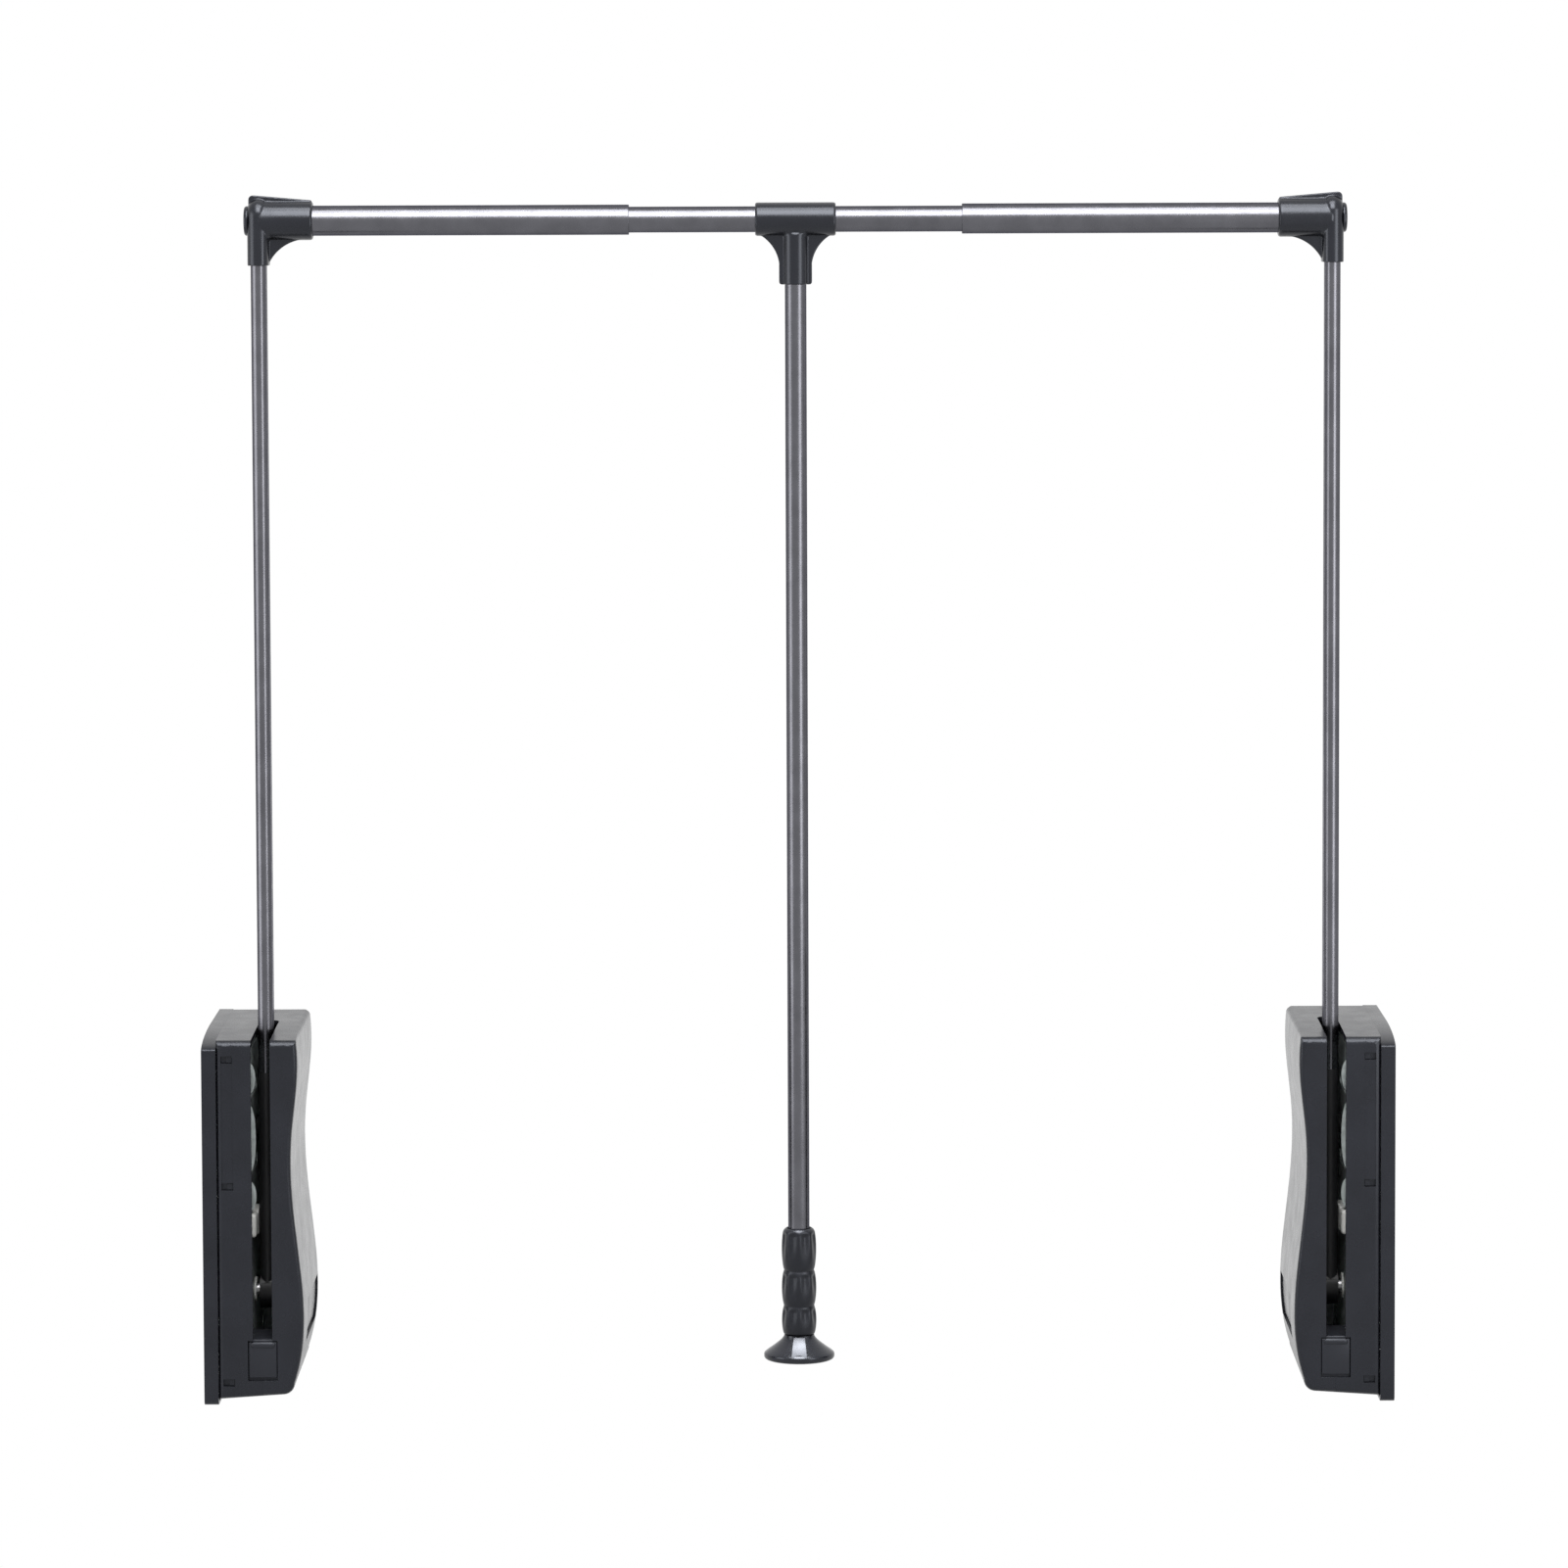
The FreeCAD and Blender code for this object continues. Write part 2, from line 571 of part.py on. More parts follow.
def shell_screws():
    """Three screws that draw the shell halves together."""
    seat = ARM_X - SHELL_SCREW_LENGTH / 2.0
    screws = []
    for y, z in BOSS_PLACES:
        head = rod_x(seat - SHELL_SCREW_HEAD / 2.0, seat, y, z, SHELL_SCREW_HEAD)
        thread = rod_x(ARM_X, ARM_X + SHELL_SCREW_LENGTH / 2.0, y, z, BOSS_PILOT)
        screws.append(head.fuse([rod_x(seat, ARM_X, y, z, SHELL_SCREW_SHANK), thread]))
    return screws


def slot_insert():
    """Rubber-like insert: face panel in the window, lip and a sloped pad for the arm."""
    half = INSERT_WIDTH / 2.0
    back = FRONT + INSERT_DEPTH
    lift = (INSERT_DEPTH - SHELL_WALL) * math.tan(ARM_SLOPE)
    pad_front = SLOT_BOTTOM + SHELL_WALL * math.tan(ARM_SLOPE)
    wire = outline(on_yz(ARM_X - half), [
        (FRONT + SHELL_WALL, BOTTOM, 0.0, 0.0),
        (back, BOTTOM, 0.0, 0.0),
        (back, pad_front + lift, INSERT_PAD_ROUND, INSERT_PAD_ROUND),
        (FRONT + SHELL_WALL, pad_front, 0.0, 0.0),
    ])
    pad = slab(wire, V(INSERT_WIDTH, 0, 0)).common(housing_cavity(SHELL_WALL))
    face = block(ARM_X - half, ARM_X + half, FRONT + SHELL_WALL - INSERT_FACE, FRONT + SHELL_WALL,
                 SLOT_BOTTOM - INSERT_HEIGHT, SLOT_BOTTOM - SEAM)
    lip_half = half - INSERT_LAND
    lip = rod_x(ARM_X - lip_half, ARM_X + lip_half, FRONT + INSERT_LIP / 2.0,
                SLOT_BOTTOM - SEAM - INSERT_LIP / 2.0, INSERT_LIP)
    return clean(pad.fuse([face, lip]))


# ---------------------------------------------------------------- steel chassis
def cheek_outline(x):
    """Side view of a cheek plate."""
    corner = CHEEK_CORNER
    return outline(on_yz(x), [
        (CHEEK_FRONT_Y, CHEEK_LOW, corner, corner),
        (WEB_Y, CHEEK_LOW, 0.0, 0.0),
        (WEB_Y, CHEEK_HIGH, 0.0, 0.0),
        (CHEEK_FRONT_Y, CHEEK_HIGH, corner, corner),
    ])


def cheek_holes(x0, x1):
    """Pivot, windows, screwdriver holes and rivet holes through a cheek."""
    start = CHEEK_FRONT_Y + WINDOW_SETBACK
    cuts = [rod_x(x0, x1, PIVOT_Y, PIVOT_Z, BUSH_DIAMETER)]
    cuts += [obround_x(x0, x1, start, start + WINDOW_LENGTH, level, WINDOW_HEIGHT) for level in WINDOW_LEVELS]
    cuts += [rod_x(x0, x1, y, z, ACCESS_HOLE) for y, z in WALL_SCREWS if y > 0]
    cuts.append(rod_x(x0, x1, stop_y(), STOP_LEVEL, POST_RIVET))
    return cuts


def chassis():
    """Base, rear web and inner cheek folded from one sheet."""
    outer = CHEEK_IN + SHEET
    base_front = FRONT + CHASSIS_FRONT
    wire = outline(on_xy(CHASSIS_LOW), [
        (PLATE_PANEL, base_front, 0.0, 0.0),
        (BASE_TOP, base_front, 0.0, 0.0),
        (BASE_TOP, WEB_Y, BEND_RADIUS - SHEET, BEND_RADIUS - SHEET),
        (CHEEK_IN, WEB_Y, BEND_RADIUS - SHEET, BEND_RADIUS - SHEET),
        (CHEEK_IN, CHEEK_FRONT_Y, 0.0, 0.0),
        (outer, CHEEK_FRONT_Y, 0.0, 0.0),
        (outer, WEB_Y + SHEET, BEND_RADIUS, BEND_RADIUS),
        (PLATE_PANEL, WEB_Y + SHEET, BEND_RADIUS, BEND_RADIUS),
    ])
    sheet = slab(wire, V(0, 0, CHASSIS_HIGH - CHASSIS_LOW))
    spare = block(CHEEK_IN - OVERCUT, outer, CHEEK_FRONT_Y - OVERCUT, WEB_Y - BEND_RADIUS,
                  CHASSIS_LOW, CHASSIS_HIGH)
    spare = spare.cut(slab(cheek_outline(0.0), V(2.0 * outer, 0, 0)))
    cuts = [rod_x(0.0, BASE_TOP, y, z, WALL_SCREW_HOLE) for y, z in WALL_SCREWS]
    return clean(sheet.cut([spare] + cuts + cheek_holes(CHEEK_IN, outer)))


def outer_cheek():
    """Zinc plated plate on the wall side of the arm, seated on the rear web."""
    plate = slab(cheek_outline(CHEEK_OUT - SHEET), V(SHEET, 0, 0))
    cuts = [rod_x(CHEEK_OUT - SHEET, CHEEK_OUT, y, z, POST_RIVET) for y, z in POST_PLACES]
    cuts.append(rod_x(CHEEK_OUT - SHEET, CHEEK_OUT, PIVOT_Y, GUIDE_LEVEL, POST_RIVET))
    return clean(plate.cut(cuts + cheek_holes(CHEEK_OUT - SHEET, CHEEK_OUT)))


def spacer_posts():
    """Shouldered posts riveted into the outer cheek, and the post that carries the stop."""
    posts = []
    for y, z in POST_PLACES:
        post = rod_x(BASE_TOP, CHEEK_OUT - SHEET, y, z, POST_DIAMETER)
        posts.append(post.fuse(rod_x(CHEEK_OUT - SHEET, CHEEK_OUT, y, z, POST_RIVET)))
    stop = rod_x(CHEEK_OUT, CHEEK_IN, stop_y(), STOP_LEVEL, POST_DIAMETER)
    posts.append(stop.fuse(rod_x(CHEEK_OUT - SHEET, CHEEK_IN + SHEET, stop_y(), STOP_LEVEL, POST_RIVET)))
    return posts


def stop_y():
    """Centre of the stop sleeve, just behind the raised arm."""
    return ARM_REAR + REST_GAP + STOP_DIAMETER / 2.0


def arm_stop():
    """Rubber sleeve on its post."""
    return ring_x(CHEEK_OUT + SEAM, CHEEK_IN - SEAM, stop_y(), STOP_LEVEL, STOP_DIAMETER, POST_DIAMETER)


def arm_guide():
    """White nylon pad on the outer cheek that keeps the arm in the middle of the slot."""
    face = ARM_X - ARM_WIDE / 2.0 - REST_GAP
    front = CHEEK_FRONT_Y + CHEEK_CORNER
    low = GUIDE_LEVEL - GUIDE_HEIGHT / 2.0
    corner = GUIDE_HEIGHT / 3.0
    wire = outline(on_yz(CHEEK_OUT), [
        (front, low, corner, corner),
        (front + GUIDE_LENGTH, low, corner, corner),
        (front + GUIDE_LENGTH, low + GUIDE_HEIGHT, corner, corner),
        (front, low + GUIDE_HEIGHT, corner, corner),
    ])
    stud = rod_x(CHEEK_OUT - SHEET, CHEEK_OUT, PIVOT_Y, GUIDE_LEVEL, POST_RIVET)
    return clean(slab(wire, V(face - CHEEK_OUT, 0, 0)).fuse(stud))


# ---------------------------------------------------------------- pivot and arm
def pivot_bushes():
    """A flanged nylon bush in each cheek."""
    bore = SHAFT_DIAMETER + 2.0 * RUN_CLEARANCE
    out = ring_x(CHEEK_OUT - SHEET, CHEEK_OUT, PIVOT_Y, PIVOT_Z, BUSH_DIAMETER, bore)
    out = out.fuse(ring_x(CHEEK_OUT, CHEEK_OUT + BUSH_FLANGE_THICK, PIVOT_Y, PIVOT_Z, BUSH_FLANGE, bore))
    inn = ring_x(CHEEK_IN, CHEEK_IN + SHEET, PIVOT_Y, PIVOT_Z, BUSH_DIAMETER, bore)
    inn = inn.fuse(ring_x(CHEEK_IN - BUSH_FLANGE_THICK, CHEEK_IN, PIVOT_Y, PIVOT_Z, BUSH_FLANGE, bore))
    return [out, inn]


def pivot_shaft():
    """Shaft that turns with the arm; its head stays just clear of the inner cheek."""
    head = CHEEK_IN + SHEET + SEAM
    shaft = rod_x(CRANK_OUT - CRANK_THICK, head, PIVOT_Y, PIVOT_Z, SHAFT_DIAMETER)
    return shaft.fuse(rod_x(head, head + SHAFT_HEAD_THICK, PIVOT_Y, PIVOT_Z, SHAFT_HEAD))


def arm_foot():
    """Casting with the pivot hub below and a tongue up into the arm tube."""
    inner_wide = ARM_WIDE - 2.0 * (ARM_WALL + FIT_CLEARANCE)
    inner_deep = ARM_DEEP - 2.0 * (ARM_WALL + FIT_CLEARANCE)
    left = ARM_X - ARM_WIDE / 2.0
    foot = rod_x(left, left + ARM_WIDE, PIVOT_Y, PIVOT_Z, FOOT_HUB)
    shank = oval(ARM_X, PIVOT_Y, PIVOT_Z, FOOT_LEVEL, ARM_WIDE, ARM_DEEP)
    tongue = oval(ARM_X, PIVOT_Y, FOOT_LEVEL, FOOT_LEVEL + FOOT_TONGUE, inner_wide, inner_deep)
    foot = foot.fuse([shank, tongue])
    return clean(foot.cut(rod_x(left, left + ARM_WIDE, PIVOT_Y, PIVOT_Z, SHAFT_DIAMETER)))


def arm_tube():
    """Flat-oval steel tube from the foot up into the corner connector."""
    outer = oval(ARM_X, PIVOT_Y, FOOT_LEVEL, ARM_TOP, ARM_WIDE, ARM_DEEP)
    inner = oval(ARM_X, PIVOT_Y, FOOT_LEVEL, ARM_TOP, ARM_WIDE - 2.0 * ARM_WALL, ARM_DEEP - 2.0 * ARM_WALL)
    return outer.cut(inner)


# ---------------------------------------------------------------- spring gear
def spring_crank():
    """Lever on the shaft end, pointing back and down while the arm is raised."""
    direction = V(0, math.cos(CRANK_ANGLE), -math.sin(CRANK_ANGLE))
    across = V(0, -direction.z, direction.y)
    hub = V(CRANK_OUT, PIVOT_Y, PIVOT_Z)
    eye = V(CRANK_OUT, PIN_Y, PIN_Z)
    hub_r = CRANK_HUB / 2.0
    eye_r = CRANK_EYE / 2.0
    wire = Part.makePolygon([hub + across * hub_r, eye + across * eye_r, eye - across * eye_r,
                             hub - across * hub_r, hub + across * hub_r])
    arm = slab(wire, V(CRANK_THICK, 0, 0))
    arm = arm.fuse([rod_x(CRANK_OUT, CRANK_IN, PIVOT_Y, PIVOT_Z, CRANK_HUB),
                    rod_x(CRANK_OUT, CRANK_IN, PIN_Y, PIN_Z, CRANK_EYE),
                    rod_x(CRANK_OUT - CRANK_THICK, CRANK_OUT, PIVOT_Y, PIVOT_Z, CRANK_HUB - CRANK_THICK)])
    return clean(arm.cut([rod_x(0.0, ARM_X, PIVOT_Y, PIVOT_Z, SHAFT_DIAMETER),
                          rod_x(0.0, ARM_X, PIN_Y, PIN_Z, CRANK_PIN)]))


def crank_pin():
    """Pin in the crank eye: a shoulder, the journal for the rod eye and a head."""
    eye_end = SPRING_X + ROD_EYE_THICK / 2.0 + SEAM
    eye_start = SPRING_X - ROD_EYE_THICK / 2.0 - SEAM
    pin = rod_x(eye_start, CRANK_IN, PIN_Y, PIN_Z, CRANK_PIN)
    shoulder = rod_x(eye_end, CRANK_OUT, PIN_Y, PIN_Z, PIN_SHOULDER)
    head = rod_x(eye_start - SHEET, eye_start, PIN_Y, PIN_Z, PIN_SHOULDER)
    return pin.fuse([shoulder, head])


def spring_rod():
    """Rod hung on the crank pin by its eye; it guides the spring and runs through the seat."""
    half = ROD_EYE_THICK / 2.0
    rod = rod_z(SPRING_X, PIN_Y, PIN_Z, SEAT_LEVEL + 2.0 * SEAT_THICK, SPRING_ROD)
    rod = rod.fuse(rod_x(SPRING_X - half, SPRING_X + half, PIN_Y, PIN_Z, ROD_EYE))
    return clean(rod.cut(rod_x(0.0, ARM_X, PIN_Y, PIN_Z, CRANK_PIN + 2.0 * RUN_CLEARANCE)))


def spring_collar():
    """Collar on the rod that carries the lower end of the spring."""
    collar = rod_z(SPRING_X, PIN_Y, COLLAR_LEVEL, SPRING_LEVEL, SPRING_DIAMETER)
    return collar.cut(rod_z(SPRING_X, PIN_Y, COLLAR_LEVEL, SPRING_LEVEL, SPRING_ROD))


def helix_point(turn, radius, height):
    """A point of the spring's centre line; the first and last turns lie flat."""
    angle = 2.0 * math.pi * turn
    free = SPRING_TURNS - 2.0
    share = min(max(turn - 1.0, 0.0), free) / free
    dead = min(turn, 1.0) + max(turn - 1.0 - free, 0.0)
    z = SPRING_WIRE / 2.0 + SPRING_WIRE * dead + (height - 3.0 * SPRING_WIRE) * share
    return V(radius * math.cos(angle), radius * math.sin(angle), z)


def coil_spring():
    """Compression spring as a faceted helix of six-sided wire."""
    steps = 10 * SPRING_TURNS
    radius = (SPRING_DIAMETER - SPRING_WIRE) / 2.0
    points = []
    for step in range(steps + 1):
        centre = helix_point(step / 10.0, radius, SPRING_LENGTH)
        out = V(centre.x, centre.y, 0).normalize()
        for side in range(6):
            angle = math.radians(60.0 * side + 30.0)
            offset = out * math.cos(angle) + V(0, 0, math.sin(angle))
            points.append(centre + offset * (SPRING_WIRE / 2.0))
    facets = []
    for step in range(steps):
        for side in range(6):
            a = 6 * step + side
            b = 6 * step + (side + 1) % 6
            facets.append((a, b, a + 6))
            facets.append((b, b + 6, a + 6))
    last = 6 * steps
    for side in range(1, 5):
        facets.append((0, side + 1, side))
        facets.append((last, last + side, last + side + 1))
    shell = Part.Shape()
    shell.makeShapeFromMesh((points, facets), 0.001)
    spring = Part.makeSolid(shell)
    if spring.Volume < 0:
        spring.reverse()
    spring.translate(V(SPRING_X, PIN_Y, SPRING_LEVEL))
    return spring


def spring_seat():
    """Slotted bracket on the rear web that takes the upper end of the spring."""
    reach = PIN_Y - SPRING_DIAMETER / 2.0 - SHEET
    top = SEAT_LEVEL + SEAT_THICK
    seat = block(BASE_TOP, CHEEK_OUT - SHEET, reach, WEB_Y - BEND_RADIUS, SEAT_LEVEL, top)
    heel = block(BASE_TOP + BEND_RADIUS, CHEEK_OUT - SHEET, reach, WEB_Y, SEAT_LEVEL, top)
    flange = block(BASE_TOP + BEND_RADIUS, CHEEK_OUT - SHEET - BEND_RADIUS, WEB_Y - SEAT_THICK, WEB_Y,
                   top, top + SEAT_FLANGE)
    width = SPRING_ROD + 2.0 * SEAM
    slot = block(SPRING_X - width / 2.0, SPRING_X + width / 2.0, PIN_Y, PIN_Y_FAR, SEAT_LEVEL, top)
    ends = [rod_z(SPRING_X, y, SEAT_LEVEL, top, width) for y in (PIN_Y, PIN_Y_FAR)]
    return clean(seat.fuse([heel, flange]).cut([slot] + ends))


# ---------------------------------------------------------------- damper
def damper_body():
    """Moulded block between the cheeks, seated on the web, with a bored nose."""
    half = DAMPER_BLOCK / 2.0
    nose = ARM_REAR + REST_GAP + PLUNGER_HEAD_THICK + DAMPER_STANDOFF
    front = nose + DAMPER_NOSE_LENGTH
    body = block(CHEEK_OUT, CHEEK_IN, front, WEB_Y - BEND_RADIUS, DAMPER_LEVEL - half, DAMPER_LEVEL + half)
    heel = block(CHEEK_OUT, CHEEK_IN - BEND_RADIUS, front, WEB_Y, DAMPER_LEVEL - half, DAMPER_LEVEL + half)
    body = body.fuse([heel, rod_y(ARM_X, nose, front, DAMPER_LEVEL, DAMPER_NOSE)])
    bore = rod_y(ARM_X, nose, nose + PLUNGER_BORE_DEPTH, DAMPER_LEVEL, PLUNGER_DIAMETER + 2.0 * RUN_CLEARANCE)
    return clean(body.cut(bore))


def damper_plunger():
    """Plunger whose head waits just behind the raised arm."""
    tip = ARM_REAR + REST_GAP
    head = rod_y(ARM_X, tip, tip + PLUNGER_HEAD_THICK, DAMPER_LEVEL, PLUNGER_HEAD)
    return head.fuse(rod_y(ARM_X, tip, tip + PLUNGER_LENGTH, DAMPER_LEVEL, PLUNGER_DIAMETER))


# ---------------------------------------------------------------- rail and corners
def corner_connector():
    """Moulded corner: arm socket below, rail socket to the side, rib above, web below."""
    sleeve_r = CORNER_SLEEVE / 2.0
    crown = RAIL_LEVEL + CORNER_RISE
    mouth = RAIL_LEVEL - CORNER_DROP
    inner = ARM_X + CORNER_WIDE / 2.0
    outer_end = CORNER_OUT + CORNER_LAND
    room_end = CORNER_REACH - CORNER_LAND
    crown_round = CORNER_DEEP / 2.0 - CORNER_LAND
    post = oval(ARM_X, PIVOT_Y, mouth, crown, CORNER_WIDE, CORNER_DEEP)
    dome = outline(on_yz(CORNER_OUT), [
        (PIVOT_Y - CORNER_DEEP / 2.0, mouth, 0.0, 0.0),
        (PIVOT_Y + CORNER_DEEP / 2.0, mouth, 0.0, 0.0),
        (PIVOT_Y + CORNER_DEEP / 2.0, crown, crown_round, crown_round),
        (PIVOT_Y - CORNER_DEEP / 2.0, crown, crown_round, crown_round),
    ])
    post = post.common(slab(dome, V(CORNER_WIDE, 0, 0)))
    sleeve = rod_x(ARM_X, CORNER_REACH, PIVOT_Y, RAIL_LEVEL, CORNER_SLEEVE)
    rib_top = crown + CORNER_RIB_RISE
    rib = slab(Part.makePolygon([
        V(outer_end, PIVOT_Y - CORNER_RIB / 2.0, RAIL_LEVEL),
        V(outer_end, PIVOT_Y - CORNER_RIB / 2.0, crown),
        V(ARM_X, PIVOT_Y - CORNER_RIB / 2.0, rib_top),
        V(room_end, PIVOT_Y - CORNER_RIB / 2.0, RAIL_LEVEL + sleeve_r + CORNER_LAND),
        V(room_end, PIVOT_Y - CORNER_RIB / 2.0, RAIL_LEVEL),
        V(outer_end, PIVOT_Y - CORNER_RIB / 2.0, RAIL_LEVEL),
    ]), V(0, CORNER_RIB, 0))
    web = slab(gusset_wire(PIVOT_Y - CORNER_WEB / 2.0, inner, room_end,
                           RAIL_LEVEL - sleeve_r + CORNER_LAND, mouth + CORNER_LAND), V(0, CORNER_WEB, 0))
    arm_socket = oval(ARM_X, PIVOT_Y, mouth, ARM_TOP,
                      ARM_WIDE + 2.0 * FIT_CLEARANCE, ARM_DEEP + 2.0 * FIT_CLEARANCE)
    rail_socket = rod_x(RAIL_START, CORNER_REACH, PIVOT_Y, RAIL_LEVEL, RAIL_OUTER + 2.0 * FIT_CLEARANCE)
    screw_hole = rod_x(CORNER_OUT, CORNER_OUT + CORNER_SCREW_LENGTH, PIVOT_Y, RAIL_LEVEL,
                       CORNER_SCREW_SHANK)
    body = post.fuse([sleeve, rib, web])
    return clean(body.cut([arm_socket, rail_socket, screw_hole]))


def gusset_wire(y, near, far, high, low):
    """Three-cornered web with a hollow lower edge, from a post out along a sleeve."""
    corner = V(near, y, high)
    top = V(far, y, high)
    foot = V(near, y, low)
    inward = V(near - OVERCUT, y, low)
    above = V(near - OVERCUT, y, high)
    return Part.Wire([
        Part.LineSegment(above, corner).toShape(),
        Part.LineSegment(corner, top).toShape(),
        bend(top, corner, foot),
        Part.LineSegment(foot, inward).toShape(),
        Part.LineSegment(inward, above).toShape(),
    ])


def corner_cap():
    """Round cap on the outer face, recessed for the screw."""
    start = CORNER_OUT - CAP_THICK
    cap = rod_x(start, CORNER_OUT, PIVOT_Y, RAIL_LEVEL, CAP_DIAMETER)
    cap = cap.makeChamfer(CAP_THICK / 4.0, [e for e in cap.Edges if abs(e.CenterOfMass.x - start) < 0.01])
    recess = rod_x(start, start + CAP_THICK / 2.0, PIVOT_Y, RAIL_LEVEL, CAP_RECESS)
    return cap.cut([recess, rod_x(start, CORNER_OUT, PIVOT_Y, RAIL_LEVEL, CORNER_SCREW_SHANK)])


def corner_screw():
    """Screw that holds cap and connector together."""
    seat = CORNER_OUT - CAP_THICK / 2.0
    head = rod_x(seat - CAP_THICK / 2.0 + SEAM, seat, PIVOT_Y, RAIL_LEVEL, CORNER_SCREW_HEAD)
    shank = rod_x(seat, CORNER_OUT + CORNER_SCREW_LENGTH, PIVOT_Y, RAIL_LEVEL, CORNER_SCREW_SHANK)
    return head.fuse(shank)


def rail_tube():
    """Outer rail tube, from the corner socket to its open end."""
    return ring_x(RAIL_START, RAIL_TUBE_END, PIVOT_Y, RAIL_LEVEL, RAIL_OUTER, RAIL_BORE)


def inner_rail_tube():
    """Inner rail tube that slides in both outer tubes and carries the tee."""
    half = INNER_RAIL_LENGTH / 2.0
    return ring_x(MIDDLE_X - half, MIDDLE_X + half, PIVOT_Y, RAIL_LEVEL,
                  RAIL_INNER, RAIL_INNER - 2.0 * RAIL_WALL)


def inner_rail_plugs():
    """End plugs whose flanges run in the bore of the outer tubes."""
    end = MIDDLE_X - INNER_RAIL_LENGTH / 2.0
    flange = rod_x(end - PLUG_FLANGE, end, PIVOT_Y, RAIL_LEVEL, RAIL_BORE - 2.0 * RUN_CLEARANCE)
    plug = flange.fuse(rod_x(end, end + PLUG_SPIGOT, PIVOT_Y, RAIL_LEVEL, RAIL_INNER - 2.0 * RAIL_WALL))
    return [plug, mirrored(plug)]


# ---------------------------------------------------------------- tee, rod and grip
def turned(profile):
    """A solid of revolution about the pull rod from a profile of (radius, level) edges."""
    return Part.Face(profile).revolve(V(MIDDLE_X, PIVOT_Y, 0), V(0, 0, 1), 360)


def tee_connector():
    """Sleeve that turns on the inner tube, stem for the pull rod, web and gussets."""
    half = TEE_LENGTH / 2.0
    sleeve_r = TEE_SLEEVE / 2.0
    sleeve = rod_x(MIDDLE_X - half, MIDDLE_X + half, PIVOT_Y, RAIL_LEVEL, TEE_SLEEVE)
    rims = [e for e in sleeve.Edges if abs(abs(e.CenterOfMass.x - MIDDLE_X) - half) < 0.01]
    sleeve = sleeve.makeFillet(TEE_ROUND, rims)
    stem = rod_z(MIDDLE_X, PIVOT_Y, STEM_MOUTH, RAIL_LEVEL, TEE_STEM)
    web = block(MIDDLE_X - TEE_WEB_WIDTH / 2.0, MIDDLE_X + TEE_WEB_WIDTH / 2.0,
                PIVOT_Y - TEE_WEB / 2.0, PIVOT_Y + TEE_WEB / 2.0, STEM_MOUTH + TEE_LAND, RAIL_LEVEL)
    near = MIDDLE_X + TEE_WEB_WIDTH / 2.0
    gusset = slab(gusset_wire(PIVOT_Y - TEE_WEB / 2.0, near, MIDDLE_X + half - TEE_ROUND,
                              RAIL_LEVEL - sleeve_r + TEE_LAND, RAIL_LEVEL - sleeve_r - TEE_GUSSET),
                  V(0, TEE_WEB, 0))
    body = sleeve.fuse([stem, web, gusset, mirrored(gusset)])
    rail_bore = rod_x(MIDDLE_X - half, MIDDLE_X + half, PIVOT_Y, RAIL_LEVEL, RAIL_INNER + 2.0 * RUN_CLEARANCE)
    rod_bore = rod_z(MIDDLE_X, PIVOT_Y, STEM_MOUTH, ROD_TOP, PULL_ROD + 2.0 * FIT_CLEARANCE)
    screw_hole = rod_y(MIDDLE_X, PIVOT_Y, PIVOT_Y + TEE_STEM / 2.0 + OVERCUT, tee_screw_z(), TEE_SCREW)
    return clean(body.cut([rail_bore, rod_bore, screw_hole]))


def tee_screw_z():
    """Level of the screw at the back of the stem."""
    return STEM_MOUTH + PULL_ROD_INSERTION / 3.0


def tee_screw():
    """Screw from the back of the stem into the pull rod."""
    skin = PIVOT_Y + TEE_STEM / 2.0 + SEAM
    inside = PIVOT_Y + PULL_ROD / 2.0 - 2.0 * PULL_ROD_WALL
    head = rod_y(MIDDLE_X, skin, skin + TEE_SCREW / 2.0, tee_screw_z(), TEE_SCREW_HEAD)
    return head.fuse(rod_y(MIDDLE_X, inside, skin, tee_screw_z(), TEE_SCREW))


def pull_rod_tube():
    """Round tube from the tee down into the grip."""
    low = GRIP_LEVEL - GRIP_SOCKET
    tube = rod_z(MIDDLE_X, PIVOT_Y, low, ROD_TOP, PULL_ROD)
    tube = tube.cut(rod_z(MIDDLE_X, PIVOT_Y, low, ROD_TOP, PULL_ROD - 2.0 * PULL_ROD_WALL))
    return tube.cut(rod_y(MIDDLE_X, PIVOT_Y, PIVOT_Y + PULL_ROD, tee_screw_z(), TEE_SCREW))


def grip():
    """Moulded grip of three bulges, bored for the rod."""
    place = on_xz(PIVOT_Y)
    levels = [GRIP_LEVEL]
    for segment in GRIP_SEGMENTS:
        levels.append(levels[-1] - segment)
    neck = MIDDLE_X + GRIP_NECK / 2.0
    bulge = MIDDLE_X + GRIP_BULGE / 2.0
    edges = [Part.LineSegment(place(MIDDLE_X, levels[-1]), place(MIDDLE_X, levels[0])).toShape(),
             Part.LineSegment(place(MIDDLE_X, levels[0]), place(neck, levels[0])).toShape()]
    for high, low in zip(levels[:-1], levels[1:]):
        arc = Part.Arc(place(neck, high), place(bulge, (high + low) / 2.0), place(neck, low))
        edges.append(arc.toShape())
    edges.append(Part.LineSegment(place(neck, levels[-1]), place(MIDDLE_X, levels[-1])).toShape())
    body = turned(Part.Wire(edges))
    socket = rod_z(MIDDLE_X, PIVOT_Y, GRIP_LEVEL - GRIP_SOCKET, GRIP_LEVEL, PULL_ROD + 2.0 * FIT_CLEARANCE)
    return body.cut(socket)


